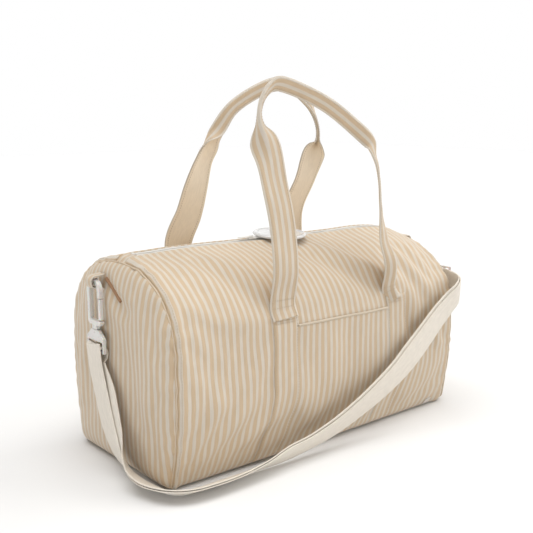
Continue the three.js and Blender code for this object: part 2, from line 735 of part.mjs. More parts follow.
// ---------- shoulder strap ----------
// The webbing is doubled all along: an outer layer, and an inner layer on its bag side.
const strapStation = (x, y, z, faceX, faceY, faceZ) => ({
  at: [x, y, z],
  face: [faceX, faceY, faceZ],
  wide: STRAP_W,
});
const strapStations = [
  strapStation(-261, 22, 148, -1, 0, 0),
  strapStation(-261, 17, 122, -1, 0, 0),
  strapStation(-261, 6, 92, -1, 0, 0),
  strapStation(-261, -9, 56, -1, -0.05, -0.15),
  strapStation(-261, -30, 30, -0.9, -0.1, -0.4),
  strapStation(-260, -56, 15, -0.65, -0.1, -0.75),
  strapStation(-259, -84, 9.5, -0.45, -0.1, -0.88),
  strapStation(-253, -110, 9, -0.4, -0.25, -0.88),
  strapStation(-236, -128, 9, -0.25, -0.4, -0.88),
  strapStation(-208, -132, 9, -0.1, -0.43, -0.9),
  strapStation(-170, -132, 9.5, 0, -0.45, -0.89),
  strapStation(-130, -131.5, 12, 0, -0.6, -0.8),
  strapStation(-95, -131, 16.5, 0, -0.78, -0.6),
  strapStation(-62, -130, 22, 0, -0.9, -0.35),
  strapStation(-29, -129.5, 30, 0, -1, -0.15),
  strapStation(0, -129, 38, 0, -1, 0),
  strapStation(30, -128.5, 49, 0, -1, 0),
  strapStation(62, -128, 62, 0, -1, 0),
  strapStation(98, -126.5, 78, 0, -1, 0),
  strapStation(128, -124.5, 95, 0, -1, 0),
  strapStation(159, -121, 115, 0.05, -1, 0),
  strapStation(188, -117, 134, 0.15, -1, 0),
  strapStation(214, -114.5, 150, 0.3, -0.95, 0),
  strapStation(236, -111.5, 161, 0.6, -0.8, 0),
  strapStation(252, -99, 167, 0.85, -0.5, 0),
  strapStation(259, -77, 171, 1, -0.1, 0),
  strapStation(261, -52, 173, 1, 0, 0),
];
const LAYER_STEP = 4; // from the middle of one layer to the middle of the other
// How far the inner layer has slipped across the outer one, from one end of the route to the other.
function layerSlip(t) {
  const { smoothstep } = THREE.MathUtils;
  const left = 12 * smoothstep(t, 0, 0.05) * (1 - smoothstep(t, 0.12, 0.24));
  const right = 6 * smoothstep(t, 0.42, 0.6) * (1 - smoothstep(t, 0.92, 1));
  return left + right + 1;
}
add("strap_outer", ribbon(strapStations, 66, { thickness: STRAP_T }), webbingColour);
const inner = { thickness: STRAP_T, shift: () => -LAYER_STEP, slide: layerSlip };
add("strap_inner", ribbon(strapStations.slice(1, -1), 62, inner), webbingColour);

// The slide adjuster: a flat frame with a middle bar, on the strap's outer face by the right hook.
function adjuster() {
  const shape = new THREE.Shape();
  const half = STRAP_W / 2 + 3;
  rectanglePath(shape, -half, half, -12, 12);
  const slot = STRAP_W / 2 + 0.5;
  shape.holes.push(rectanglePath(new THREE.Path(), -slot, slot, -8.5, -2.5));
  shape.holes.push(rectanglePath(new THREE.Path(), -slot, slot, 2.5, 8.5));
  return plate(shape, 2.2).rotateY(Math.PI / 2).translate(HOOK_X + 8, -62, 172);
}
add("strap_adjuster", adjuster(), plasticColour, 0.35);

// ---------- small blank label sewn into the lower front seam ----------
add("seam_label", box(200, 213, -95.4, -94.7, 5, 14), 0xe4dfe6);

export default bag;
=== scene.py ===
"""Weekender bag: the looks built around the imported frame. Lengths are in millimetres until a mesh is made.

+X runs along the bag, -Y is the pocket side, +Z is up.
"""

import math

import bpy
import bmesh
import numpy as np
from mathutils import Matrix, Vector


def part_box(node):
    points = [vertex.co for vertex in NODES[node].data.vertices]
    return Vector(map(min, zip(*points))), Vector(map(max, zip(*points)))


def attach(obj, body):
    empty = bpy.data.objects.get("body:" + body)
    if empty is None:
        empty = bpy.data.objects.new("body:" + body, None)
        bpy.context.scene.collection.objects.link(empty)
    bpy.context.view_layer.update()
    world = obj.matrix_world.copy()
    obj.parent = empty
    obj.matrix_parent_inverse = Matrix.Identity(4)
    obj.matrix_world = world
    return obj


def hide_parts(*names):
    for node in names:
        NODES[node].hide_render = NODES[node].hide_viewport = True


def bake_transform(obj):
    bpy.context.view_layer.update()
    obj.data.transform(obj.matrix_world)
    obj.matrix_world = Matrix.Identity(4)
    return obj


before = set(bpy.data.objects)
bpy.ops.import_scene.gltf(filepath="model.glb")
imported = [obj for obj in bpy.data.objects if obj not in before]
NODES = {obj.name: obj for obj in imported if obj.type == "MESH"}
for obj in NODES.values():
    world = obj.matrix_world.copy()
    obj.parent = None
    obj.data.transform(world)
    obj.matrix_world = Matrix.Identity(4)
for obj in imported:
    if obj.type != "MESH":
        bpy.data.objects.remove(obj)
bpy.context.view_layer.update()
MM = 0.001

# ---------- camera ----------
CAMERA_AT = (-0.7204, -0.8654, 0.4214)
CAMERA_AZIMUTH = -39.03
CAMERA_ELEVATION = 10.546
CAMERA_LENS = 58.72  # mm, for a sensor 36 mm wide


def put_in_scene(name, data):
    obj = bpy.data.objects.new(name, data)
    bpy.context.scene.collection.objects.link(obj)
    return obj


camera = put_in_scene("camera", bpy.data.cameras.new("camera"))
camera.data.sensor_width = 36
camera.data.lens = CAMERA_LENS
camera.location = CAMERA_AT
camera.rotation_euler = (math.radians(90 - CAMERA_ELEVATION), 0, math.radians(CAMERA_AZIMUTH))
bpy.context.scene.camera = camera
bpy.context.scene.view_settings.view_transform = "Standard"


# ---------- small helpers ----------
def smooth(t):
    t = np.clip(t, 0.0, 1.0)
    return t * t * (3 - 2 * t)


def through(x, xs, ys):
    """A smooth curve through given values: Catmull-Rom slopes, held level outside."""
    xs = np.asarray(xs, float)
    ys = np.asarray(ys, float)
    x = np.clip(np.asarray(x, float), xs[0], xs[-1])
    slopes = np.gradient(ys, xs)
    i = np.clip(np.searchsorted(xs, x, side="right") - 1, 0, len(xs) - 2)
    h = xs[i + 1] - xs[i]
    t = (x - xs[i]) / h
    a = (1 + 2 * t) * (1 - t) ** 2 * ys[i] + t * (1 - t) ** 2 * h * slopes[i]
    b = t * t * (3 - 2 * t) * ys[i + 1] + t * t * (t - 1) * h * slopes[i + 1]
    return a + b


def unit(v):
    return v / np.maximum(np.linalg.norm(v, axis=-1, keepdims=True), 1e-9)


def waves(seed, count, shortest, longest):
    """A seeded sum of sines over two coordinates, of amplitude about 1."""
    rng = np.random.default_rng(seed)
    length = rng.uniform(shortest, longest, count)
    turn = rng.uniform(0, 2 * np.pi, count)
    phase = rng.uniform(0, 2 * np.pi, count)

    def field(a, b):
        total = 0.0
        for n in range(count):
            k = 2 * np.pi / length[n]
            total = total + np.sin(k * (a * np.cos(turn[n]) + b * np.sin(turn[n])) + phase[n])
        return total / math.sqrt(count)

    return field


def make(name, verts, faces, uvs, material, body="bag", node=None):
    """A mesh object from points in mm, with a UV map in metres (uvs holds one pair per point, in mm).
    """
    mesh = bpy.data.meshes.new(name)
    mesh.from_pydata([tuple(v) for v in (np.asarray(verts) * MM).tolist()], [], faces)
    layer = mesh.uv_layers.new(name="metres")
    index = np.empty(len(mesh.loops), int)
    mesh.loops.foreach_get("vertex_index", index)
    layer.data.foreach_set("uv", (np.asarray(uvs, float) * MM)[index].ravel())
    mesh.materials.append(material)
    mesh.shade_smooth()
    obj = put_in_scene(name, mesh)
    if isinstance(body, tuple):
        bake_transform(obj)
    else:
        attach(obj, body)
    if node:
        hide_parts(node)
    return obj


def uv_grid(across, along):
    return np.stack(np.broadcast_arrays(across[None], along[:, None]), -1)


def grid_faces(n, m, offset=0, flip=False):
    """Quads between n rows of m points."""
    out = []
    for i in range(n - 1):
        for j in range(m - 1):
            a = offset + i * m + j
            quad = (a, a + m, a + m + 1, a + 1)
            out.append(quad[::-1] if flip else quad)
    return out


def ring_faces(n, m, offset=0, flip=False):
    """Quads between n closed rings of m points."""
    out = []
    for i in range(n - 1):
        for j in range(m):
            a = offset + i * m + j
            b = offset + i * m + (j + 1) % m
            quad = (a, b, b + m, a + m)
            out.append(quad[::-1] if flip else quad)
    return out


def capped(n, m, offset=0):
    """Quads between n closed rings of m points, and a face over the first and the last ring."""
    last = offset + (n - 1) * m
    ends = [tuple(range(offset + m - 1, offset - 1, -1)), tuple(range(last, last + m))]
    return ring_faces(n, m, offset) + ends


def slab(name, top, bottom, uv, material, **more):
    """A closed thin sheet between two grids of points."""
    n, m = top.shape[:2]
    faces = grid_faces(n, m) + grid_faces(n, m, n * m, True)
    rim = [(i, 0) for i in range(n)] + [(n - 1, j) for j in range(1, m)]
    rim += [(i, m - 1) for i in range(n - 2, -1, -1)] + [(0, j) for j in range(m - 2, 0, -1)]
    for (i0, j0), (i1, j1) in zip(rim, rim[1:] + rim[:1]):
        a = i0 * m + j0
        b = i1 * m + j1
        faces.append((b, a, a + n * m, b + n * m))
    verts = np.concatenate([top.reshape(-1, 3), bottom.reshape(-1, 3)])
    return make(name, verts, faces, np.tile(uv.reshape(-1, 2), (2, 1)), material, **more)


def tube(name, rings, uv, material, **more):
    """A closed solid through rings of points, round in the second direction."""
    faces = capped(*rings.shape[:2])
    return make(name, rings.reshape(-1, 3), faces, uv.reshape(-1, 2), material, **more)


def arc_lengths(points):
    return np.concatenate([[0], np.cumsum(np.linalg.norm(np.diff(points, axis=0), axis=1))])


def sampled(values, at, places):
    """Each column of values, held at the positions `at`, read at other places."""
    return np.stack([np.interp(places, at, values[:, c]) for c in range(values.shape[1])], 1)


def resample(points, count):
    """Points evenly spaced along a polyline."""
    points = np.asarray(points, float)
    s = arc_lengths(points)
    return sampled(points, s, np.linspace(0, s[-1], count))


def catmull(points, per_span=12):
    """A dense smooth line through given points."""
    p = np.asarray(points, float)
    p = np.concatenate([[2 * p[0] - p[1]], p, [2 * p[-1] - p[-2]]])
    out = []
    for i in range(1, len(p) - 2):
        t = np.linspace(0, 1, per_span, endpoint=False)[:, None]
        a, b, c, d = p[i - 1], p[i], p[i + 1], p[i + 2]
        square = (2 * a - 5 * b + 4 * c - d) * t**2
        cube = (3 * b - a - 3 * c + d) * t**3
        out.append(0.5 * (2 * b + (c - a) * t + square + cube))
    out.append(p[-2][None])
    return np.concatenate(out)


# ---------- materials ----------
class Graph:
    """Short calls for building a node material."""

    def __init__(self, name):
        self.material = bpy.data.materials.new(name)
        self.material.use_nodes = True
        self.nodes = self.material.node_tree.nodes
        self.links = self.material.node_tree.links
        self.shader = self.nodes["Principled BSDF"]

    def put(self, socket, value):
        if isinstance(value, bpy.types.NodeSocket):
            self.links.new(value, socket)
        else:
            socket.default_value = value

    def math(self, operation, *values):
        node = self.nodes.new("ShaderNodeMath")
        node.operation = operation
        for i, v in enumerate(values):
            self.put(node.inputs[i], v)
        return node.outputs[0]

    def add(self, a, b):
        return self.math("ADD", a, b)

    def times(self, a, b):
        return self.math("MULTIPLY", a, b)

    def mix(self, factor, a, b, blend="MIX"):
        node = self.nodes.new("ShaderNodeMix")
        node.data_type = "RGBA"
        node.blend_type = blend
        self.put(node.inputs[0], factor)
        for i, colour in ((6, a), (7, b)):
            self.put(node.inputs[i], colour if isinstance(colour, bpy.types.NodeSocket) else (*colour, 1))
        return node.outputs[2]

    def tint(self, colour, tone):
        """A colour multiplied by a grey tone."""
        return self.mix(1.0, colour, self.grey(tone), "MULTIPLY")

    def grey(self, tone):
        node = self.nodes.new("ShaderNodeCombineColor")
        for i in range(3):
            self.links.new(tone, node.inputs[i])
        return node.outputs[0]

    def uv(self):
        node = self.nodes.new("ShaderNodeUVMap")
        node.uv_map = "metres"
        split = self.nodes.new("ShaderNodeSeparateXYZ")
        self.links.new(node.outputs[0], split.inputs[0])
        return node.outputs[0], split.outputs[0], split.outputs[1]

    def place(self):
        return self.nodes.new("ShaderNodeTexCoord").outputs["Object"]

    def uneven(self, vector, scale, detail, low, high, stretch=None):
        """Noise between about low and high."""
        return self.remap(self.noise(vector, scale, detail, stretch), 0.3, 0.7, low, high)

    def noise(self, vector, scale, detail, stretch=None):
        if stretch:
            node = self.nodes.new("ShaderNodeMapping")
            node.inputs["Scale"].default_value = stretch
            self.links.new(vector, node.inputs["Vector"])
            vector = node.outputs[0]
        node = self.nodes.new("ShaderNodeTexNoise")
        node.inputs["Scale"].default_value = scale
        node.inputs["Detail"].default_value = detail
        self.links.new(vector, node.inputs["Vector"])
        return node.outputs["Fac"]

    def remap(self, value, low, high, out_low, out_high, kind="LINEAR"):
        node = self.nodes.new("ShaderNodeMapRange")
        node.interpolation_type = kind
        for i, v in enumerate((value, low, high, out_low, out_high)):
            self.put(node.inputs[i], v)
        return node.outputs[0]

    def bump(self, height, distance, strength):
        node = self.nodes.new("ShaderNodeBump")
        node.inputs["Strength"].default_value = strength
        node.inputs["Distance"].default_value = distance
        self.links.new(height, node.inputs["Height"])
        self.links.new(node.outputs[0], self.shader.inputs["Normal"])

    def finish(self, colour, roughness, **settings):
        self.put(self.shader.inputs["Base Color"], colour)
        self.put(self.shader.inputs["Roughness"], roughness)
        for key, value in settings.items():
            self.put(self.shader.inputs[key.replace("_", " ")], value)
        return self.material


TAN = (0.592, 0.453, 0.304)
CREAM = (0.640, 0.572, 0.482)
PLAIN = (0.840, 0.720, 0.560)
STRIPE_PERIOD = 9.4  # one tan and one cream stripe
TAN_SHARE = 0.56
THREAD = 0.00062  # spacing of the woven threads, in metres


def weave(g, u, v, spacing):
    """Height of a plain weave: warp and weft threads that pass over each other."""
    k = 2 * math.pi / spacing
    a = g.math("SINE", g.times(u, k))
    b = g.math("SINE", g.times(v, k))
    return g.times(a, b)


def striped(name, phase=0.0):
    """Woven stripes along the cloth, with slubs, a slight drift and a faint crumple."""
    g = Graph(name)
    uv, u, v = g.uv()
    drift = g.uneven(uv, 12, 2, -0.0003, 0.0003)
    ragged = g.uneven(uv, 900, 1, -0.00012, 0.00012, stretch=(1, 0.25, 1))
    shifted = g.add(g.add(g.add(u, phase * MM), drift), ragged)
    half = STRIPE_PERIOD * MM / 2
    wave = g.math("PINGPONG", shifted, half)
    edge = half * TAN_SHARE
    mask = g.remap(wave, edge - 0.00035, edge + 0.00035, 0, 1, "SMOOTHSTEP")
    slub = g.remap(g.noise(uv, 420, 3, stretch=(1, 0.12, 1)), 0.25, 0.75, 0.94, 1.05)
    cloud = g.uneven(uv, 9, 3, 0.965, 1.03)
    colour = g.tint(g.mix(mask, TAN, CREAM), g.times(slub, cloud))
    height = g.add(g.times(weave(g, u, v, THREAD), 0.10), g.noise(uv, 55, 4))
    g.bump(height, 0.0009, 0.55)
    rough = g.uneven(uv, 60, 2, 0.50, 0.62)
    return g.finish(colour, rough, Sheen_Weight=0.18, Sheen_Roughness=0.45, Specular_IOR_Level=0.38)


def plain(name, colour, contrast=0.05, spacing=THREAD, roughness=0.7):
    """A plain weave of one colour."""
    g = Graph(name)
    uv, u, v = g.uv()
    slub = g.remap(g.noise(uv, 500, 3, stretch=(1, 0.2, 1)), 0.25, 0.75, 1 - contrast, 1 + contrast)
    cloud = g.uneven(uv, 14, 3, 0.97, 1.02)
    tinted = g.tint(colour, g.times(slub, cloud))
    height = g.add(g.times(weave(g, u, v, spacing), 0.14), g.noise(uv, 70, 3))
    g.bump(height, 0.0007, 0.5)
    rough = g.uneven(uv, 80, 2, roughness - 0.05, roughness + 0.06)
    return g.finish(tinted, rough, Sheen_Weight=0.2, Sheen_Roughness=0.5, Specular_IOR_Level=0.3)


def webbing_material(name, colour):
    """Flat webbing: ribs across it and a herringbone lean."""
    g = Graph(name)
    uv, u, v = g.uv()
    lean = g.math("PINGPONG", u, 0.004)
    rib = g.math("SINE", g.times(g.add(v, lean), 2 * math.pi / 0.0017))
    yarn = g.math("SINE", g.times(u, 2 * math.pi / 0.0011))
    height = g.add(g.times(rib, 0.5), g.times(yarn, 0.3))
    tone = g.remap(g.noise(uv, 300, 3, stretch=(1, 0.3, 1)), 0.25, 0.75, 0.93, 1.04)
    # Painted shade: the colour darkens in the low grooves between the ribs; the tone beside it varies at
    # random.
    shade = g.times(tone, g.remap(height, -0.8, 0.8, 0.955, 1.01))
    tinted = g.tint(colour, shade)
    g.bump(height, 0.00035, 0.6)
    return g.finish(tinted, 0.62, Sheen_Weight=0.15, Sheen_Roughness=0.5, Specular_IOR_Level=0.35)


def plastic(name, colour, roughness, coat=0.0, glow=0.0):
    """Moulded plastic: a faint flow pattern, fine scuffs and an uneven gloss."""
    g = Graph(name)
    at = g.place()
    cloud = g.uneven(at, 60, 3, 0.96, 1.03)
    tinted = g.tint(colour, cloud)
    scuff = g.noise(at, 900, 4)
    g.bump(g.add(scuff, g.times(g.noise(at, 120, 2), 2.0)), 0.00012, 0.35)
    rough = g.uneven(at, 240, 3, roughness - 0.05, roughness + 0.08)
    settings = {"Coat_Weight": coat, "Coat_Roughness": 0.12, "Specular_IOR_Level": 0.5}
    if glow:
        settings["Subsurface_Weight"] = glow
        settings["Subsurface_Scale"] = 0.004
    return g.finish(tinted, rough, **settings)


stripe_mat = striped("stripe_fabric")
band_mat = striped("stripe_fabric_band", phase=2.2)
handle_mat = striped("stripe_fabric_handle", phase=STRIPE_PERIOD / 2)
plain_mat = plain("plain_fabric", PLAIN)
lining_mat = plain("lining_fabric", (0.50, 0.45, 0.37))
hem_mat = plain("hem_binding", (0.64, 0.55, 0.43), contrast=0.04)
tape_mat = plain("zip_tape", (0.80, 0.77, 0.72), contrast=0.05, spacing=0.0011)
thread_mat = plain("sewing_thread", (0.52, 0.42, 0.30), contrast=0.08, spacing=0.0004)
label_mat = plain("label", (0.66, 0.61, 0.55), contrast=0.04)
strap_mat = webbing_material("webbing", (0.820, 0.755, 0.660))
disc_mat = plastic("white_plastic", (0.72, 0.72, 0.72), 0.18, coat=0.6)
hook_mat = plastic("hook_plastic", (0.70, 0.69, 0.66), 0.30, coat=0.3, glow=0.25)
zip_mat = plastic("zip_plastic", (0.80, 0.78, 0.74), 0.34)
# The tab tail's raw edge: its own brown, darkened further by painted shadow under the folded tab.
tab_edge_shadow_mat = plain("raw_edge_painted_shadow", (0.34, 0.19, 0.10), contrast=0.15)
board_mat = plain("board", (0.09, 0.075, 0.06), contrast=0.12, spacing=0.002, roughness=0.85)

# ---------- shoulder strap: two layers of one doubled webbing ----------
STRAP_W = 32.0
STRAP_T = 1.4
LAYER_STEP = 4.0
STRAP = [  # where it runs (x, y, z), and which way its outer face looks
    ((-261, 22, 148), (-1, 0, 0)),
    ((-261, 17, 122), (-1, 0, 0)),
    ((-261, 6, 92), (-1, 0, 0)),
    ((-261, -9, 56), (-1, -0.05, -0.15)),
    ((-261, -30, 30), (-0.9, -0.1, -0.4)),
    ((-260, -56, 15), (-0.65, -0.1, -0.75)),
    ((-259, -84, 9.5), (-0.45, -0.1, -0.88)),
    ((-253, -110, 9), (-0.4, -0.25, -0.88)),
    ((-236, -128, 9), (-0.25, -0.4, -0.88)),
    ((-208, -132, 9), (-0.1, -0.43, -0.9)),
    ((-170, -132, 9.5), (0, -0.45, -0.89)),
    ((-130, -131.5, 12), (0, -0.6, -0.8)),
    ((-95, -131, 16.5), (0, -0.78, -0.6)),
    ((-62, -130, 20), (0, -0.82, -0.57)),
    ((-29, -129.5, 26.5), (0, -0.86, -0.5)),
    ((0, -129, 34.5), (0, -0.9, -0.43)),
    ((30, -128.5, 45.5), (0, -0.93, -0.36)),
    ((62, -128, 59), (0, -0.97, -0.25)),
    ((98, -126.5, 76.5), (0, -0.99, -0.12)),
    ((128, -124.5, 95), (0, -1, 0)),
    ((159, -121, 115), (0.05, -1, 0)),
    ((188, -117, 134), (0.15, -1, 0)),
    ((214, -114.5, 150), (0.3, -0.95, 0)),
    ((236, -111.5, 161), (0.6, -0.8, 0)),
    ((252, -99, 167), (0.85, -0.5, 0)),
    ((259, -77, 171), (1, -0.1, 0)),
    ((261, -52, 173), (1, 0, 0)),
]


def framed(points, faces):
    """Tangents, face directions and cross directions along a line."""
    along = unit(np.gradient(points, axis=0))
    face = faces - along * np.sum(faces * along, axis=1, keepdims=True)
    face = unit(face)
    return along, face, unit(np.cross(face, along))


def flat_band(points, faces, width, thickness, crown=0.0):
    """Rings of a flat band with round edges, and its UVs: across it and along it."""
    _, face, across = framed(points, faces)
    half = width / 2
    r = thickness / 2
    profile = [(w, r) for w in np.linspace(-half + r, half - r, 9)]
    profile += [(half - 0.25 * r, 0.7 * r), (half, 0.0), (half - 0.25 * r, -0.7 * r)]
    profile += [(w, -r) for w in np.linspace(half - r, -half + r, 9)]
    profile += [(-half + 0.25 * r, -0.7 * r), (-half, 0.0), (-half + 0.25 * r, 0.7 * r)]
    profile = np.array(profile)
    lift = profile[:, 1] + crown * (1 - (profile[:, 0] / half) ** 2)
    rings = points[:, None] + across[:, None] * profile[None, :, :1] + face[:, None] * lift[None, :, None]
    return rings, uv_grid(profile[:, 0], arc_lengths(points))


def strap_line(stations):
    return [catmull([station[k] for station in stations], 14) for k in (0, 1)]


def strap_layer(word, points, faces, crown):
    rings, uv = flat_band(points, faces, STRAP_W, STRAP_T, crown)
    return tube(f"shoulder_strap_{word}", rings, uv, strap_mat, node=f"strap_{word}")


outer_points, outer_faces = strap_line(STRAP)
strap_outer = strap_layer("outer", outer_points, outer_faces, 0.3)

# The inner layer follows the outer one from its second station to its last but one, a step behind it
# and slipped a little sideways.
base_points, base_faces = strap_line(STRAP[1:-1])
_, base_face, base_across = framed(base_points, base_faces)
t = np.linspace(0, 1, len(base_points))
slip = 1 + 12 * smooth(t / 0.05) * (1 - smooth((t - 0.12) / 0.12))
slip = slip + 3 * smooth((t - 0.42) / 0.18) * (1 - smooth((t - 0.92) / 0.08))
step = LAYER_STEP - 1.9 * smooth(t / 0.08) * (1 - smooth((t - 0.92) / 0.08))
inner_points = base_points - step[:, None] * base_face + slip[:, None] * base_across
strap_inner = strap_layer("inner", inner_points, base_faces, 0.2)

# The webbing's turns through the slots of the two hook bases.
TURN_LEFT = [(-261, 22, 139), (-260.6, 22, 144), (-257, 22, 146.2), (-252.3, 22, 144)]
TURN_LEFT += [(-250.8, 21.6, 139), (-252.6, 21, 133), (-256.4, 20, 127), (-257, 18.5, 120)]
TURN_RIGHT = [(261.2, -50, 173), (261, -43.5, 171), (258, -38.8, 169), (253, -38.8, 168.8)]
TURN_RIGHT += [(250.8, -43.5, 170.5), (252.6, -50, 172.2), (256, -57, 173), (257, -64, 172.6)]


def turn(name, points, width_direction):
    """A turn of the webbing, whose width lies in the given direction."""
    line = catmull(points, 6)
    along = unit(np.gradient(line, axis=0))
    faces = np.cross(along, np.asarray(width_direction, float))
    rings, uv = flat_band(line, faces, STRAP_W - 0.6, STRAP_T - 0.2)
    return tube(name, rings, uv, strap_mat)


turn_left = turn("webbing_turn_left", TURN_LEFT, (0, 1, 0.1))
turn_right = turn("webbing_turn_right", TURN_RIGHT, (0, 0.25, 0.97))

# ---------- the bag's shell ----------
HALF_LENGTH = 235.0
HANDLE_W = 38.0
HANDLE_LEFT = -80.0
HANDLE_RIGHT = 115.0
HANDLE_Z = 178.0  # the feet's height
HANDLE_Y = 112.0  # and their distance from the middle
GROOVE = 22.0  # from a band's middle to the grooves beside it
END_BULGE = 13.0
BASE_HALF = 104.0
CORNER = 14.0
SIDE_HALF = 116.0
SIDE_Z = 105.0
ARCH_HALF = 115.0
ARCH_Z = 150.0
ZIP_EDGE = 11.3  # half the gap between the panels' top edges
POCKET_TOP = 165.0
FLOOR_GAP = 0.3  # the cloth's lowest height
ARCH_POWER = 2.3  # superellipse power of the dome
CREST_Z = 252.0
RIGHT_END_DEPTH = 0.88
NX = 150  # columns along the bag
N_SIDE = 104  # points from a panel's top edge to the base
N_BASE = 14  # points from there to the middle of the base
N_GIRTH = 2 * (N_SIDE + N_BASE) - 3


def depth_scale(x):
    """How deep the bag is at one x, next to its left end."""
    t = np.clip((x + HALF_LENGTH) / (2 * HALF_LENGTH), 0, 1)
    return 1 - (1 - RIGHT_END_DEPTH) * t * t


def crest_z(x):
    """The height of the crest, which falls at both ends."""
    xs = [-235, -222, -190, -40, 90, 172, 192, 206, 221, 235]
    return through(x, xs, [246, 250, 252, 252, 251.5, 251, 248.5, 243, 236.5, 229])


def half_section(x):
    """(depth, height) from the middle of the base to the panel's top edge at one x, evenly spaced."""
    k = float(depth_scale(x))
    crest = float(crest_z(x))
    power = ARCH_POWER - 0.35 * float(smooth((x - 120) / 115))
    flat = BASE_HALF - CORNER
    base = np.stack([np.linspace(0, flat * k, 12), np.zeros(12)], 1)
    side = []
    for a in np.linspace(0, math.pi / 2, 8):
        side.append((k * (flat + CORNER * math.sin(a)), CORNER - CORNER * math.cos(a)))
    for z in np.linspace(CORNER, ARCH_Z, 24)[1:]:
        if z < SIDE_Z:
            y = BASE_HALF + (SIDE_HALF - BASE_HALF) * math.sin((z - CORNER) / (SIDE_Z - CORNER) * math.pi / 2)
        else:
            y = SIDE_HALF + (ARCH_HALF - SIDE_HALF) * ((z - SIDE_Z) / (ARCH_Z - SIDE_Z)) ** 2
        side.append((k * y, z))
    for a in np.linspace(0, math.pi / 2, 70)[1:]:
        y = k * ARCH_HALF * math.cos(a) ** (2 / power)
        if y < ZIP_EDGE:
            side.append((ZIP_EDGE, crest))
            break
        side.append((y, ARCH_Z + (crest - ARCH_Z) * math.sin(a) ** (2 / power)))
    return np.concatenate([resample(base, N_BASE)[:-1], resample(side, N_SIDE)])


XS = np.linspace(-HALF_LENGTH, HALF_LENGTH, NX)
shell = np.zeros((NX, N_GIRTH, 3))
for i, x in enumerate(XS):
    half = half_section(x)
    shell[i, :, 0] = x
    shell[i, :, 1:] = np.concatenate([half[::-1] * (-1, 1), half[1:]])
GIRTH = arc_lengths(shell[NX // 2])  # one cloth coordinate for every column
HEIGHTS = shell[NX // 2, :, 2]
U, V = np.meshgrid(XS, GIRTH, indexing="ij")
J = np.broadcast_to(np.arange(N_GIRTH)[None], U.shape)


def column_of(side, z):
    """The place round the girth, as a fractional index, where the panel is at this height."""
    front = np.interp(np.asarray(z, float), HEIGHTS[N_SIDE - 1 :: -1], np.arange(N_SIDE)[::-1])
    return front if side < 0 else N_GIRTH - 1 - front


def normals(grid):
    return unit(np.cross(np.gradient(grid, axis=1), np.gradient(grid, axis=0)))


# Folds: a line on the front from (x, z) to (x, z), its half width and depth; a negative depth is a ridge.
FRONT_FOLDS = [
    ((-226, 16), (-158, 92), 9, 3.6),
    ((-212, 10), (-112, 74), 10, 3.4),
    ((-228, 30), (-190, 128), 8, 2.6),
    ((-196, 8), (-64, 52), 9, 2.2),
    ((-158, 244), (-104, 192), 14, 4.2),
    ((-210, 246), (-176, 214), 12, 2.2),
    ((-30, 249), (20, 233), 13, 3.0),
    ((16, 236), (90, 190), 15, 4.8),
    ((40, 246), (100, 214), 10, -2.6),
    ((132, 232), (182, 160), 11, 4.4),
    ((160, 240), (212, 176), 11, 4.2),
    ((190, 242), (228, 190), 8, 3.4),
    ((138, 184), (150, 112), 9, 2.4),
    ((176, 150), (196, 84), 10, 2.6),
    ((206, 172), (224, 96), 7, 3.2),
    ((150, 12), (222, 58), 9, 2.6),
    ((-229, 196), (-227, 118), 4, 2.8),
    ((-217, 206), (-213, 150), 7, 2.0),
    ((-40, 20), (22, 70), 10, 2.2),
    ((20, 14), (92, 58), 10, 2.2),
]
BACK_FOLDS = [
    ((-222, 20), (-150, 96), 10, 3.4),
    ((220, 16), (150, 90), 10, 3.4),
    ((-150, 240), (-96, 190), 14, 4.0),
    ((30, 240), (96, 188), 14, 4.4),
    ((140, 236), (200, 170), 12, 4.0),
    ((-226, 190), (-205, 110), 7, 2.8),
    ((-60, 120), (40, 96), 16, 2.2),
    ((-50, 40), (60, 20), 10, 2.0),
]


SHELL_FOLD = {"bow": 5, "widening": 0.25, "spread": 0.45, "taper": 0.35, "rim": 0.42}
END_FOLD = {"bow": 4, "widening": 0.0, "spread": 0.5, "taper": 0.3, "rim": 0.4}


def fold_shape(a, b, start, end, width, bow, widening, spread, taper, rim):
    """How strongly a bowed fold from start to end presses at (a, b): 1 along it, below 0 at its rims."""
    run = np.subtract(end, start).astype(float)
    length = np.linalg.norm(run)
    run /= length
    da = a - start[0]
    db = b - start[1]
    t = (da * run[0] + db * run[1]) / length
    d = da * run[1] - db * run[0] + bow * np.sin(np.pi * np.clip(t, 0, 1))
    ends = smooth(t / taper + spread) * smooth((1 - t) / taper + spread)
    w = width * (1 - widening + 2 * widening * np.clip(t, 0, 1))
    return ends * (np.exp(-((d / w) ** 2)) - rim * np.exp(-(((np.abs(d) - 1.9 * w) / w) ** 2)))


def girth_at(j):
    """The cloth coordinate, in mm, at a place round the girth."""
    return np.interp(j, np.arange(N_GIRTH), GIRTH)


def fold_depths(side, folds):
    """How far each point of the shell is pressed in by the folds on one side."""
    g = V if side < 0 else GIRTH[-1] - V
    total = np.zeros(U.shape)
    for (x0, z0), (x1, z1), width, depth in folds:
        g0, g1 = girth_at(column_of(-1, [z0, z1]))
        total += 0.72 * depth * fold_shape(U, g, (x0, g0), (x1, g1), width, **SHELL_FOLD)
    return total * (J < N_SIDE if side < 0 else J >= N_GIRTH - N_SIDE)


def near(value, centre, width):
    """1 at the centre, and falling to 0 beyond the width."""
    return np.exp(-(((value - centre) / width) ** 2))


def shear_at(u, z, side):
    """The cloth leans along the bag towards its foot, and on the front towards its crest too."""
    foot = np.clip(1 - z / 92, 0, 1) ** 1.6
    if side > 0:
        return through(u, [-235, -180, 0, 180, 235], [0, -8, -10, -8, 0]) * foot
    amount = through(u, [-235, -205, -150, -100, 60, 140, 205, 235], [0, 8, 21, 27, 27, 25, 17, 0])
    pull = through(u, [-235, -190, -90, 30, 110, 165, 235], [0, 2, 5, 12, 12, 3, 0])
    return amount * foot + pull * smooth((z - 180) / 66)


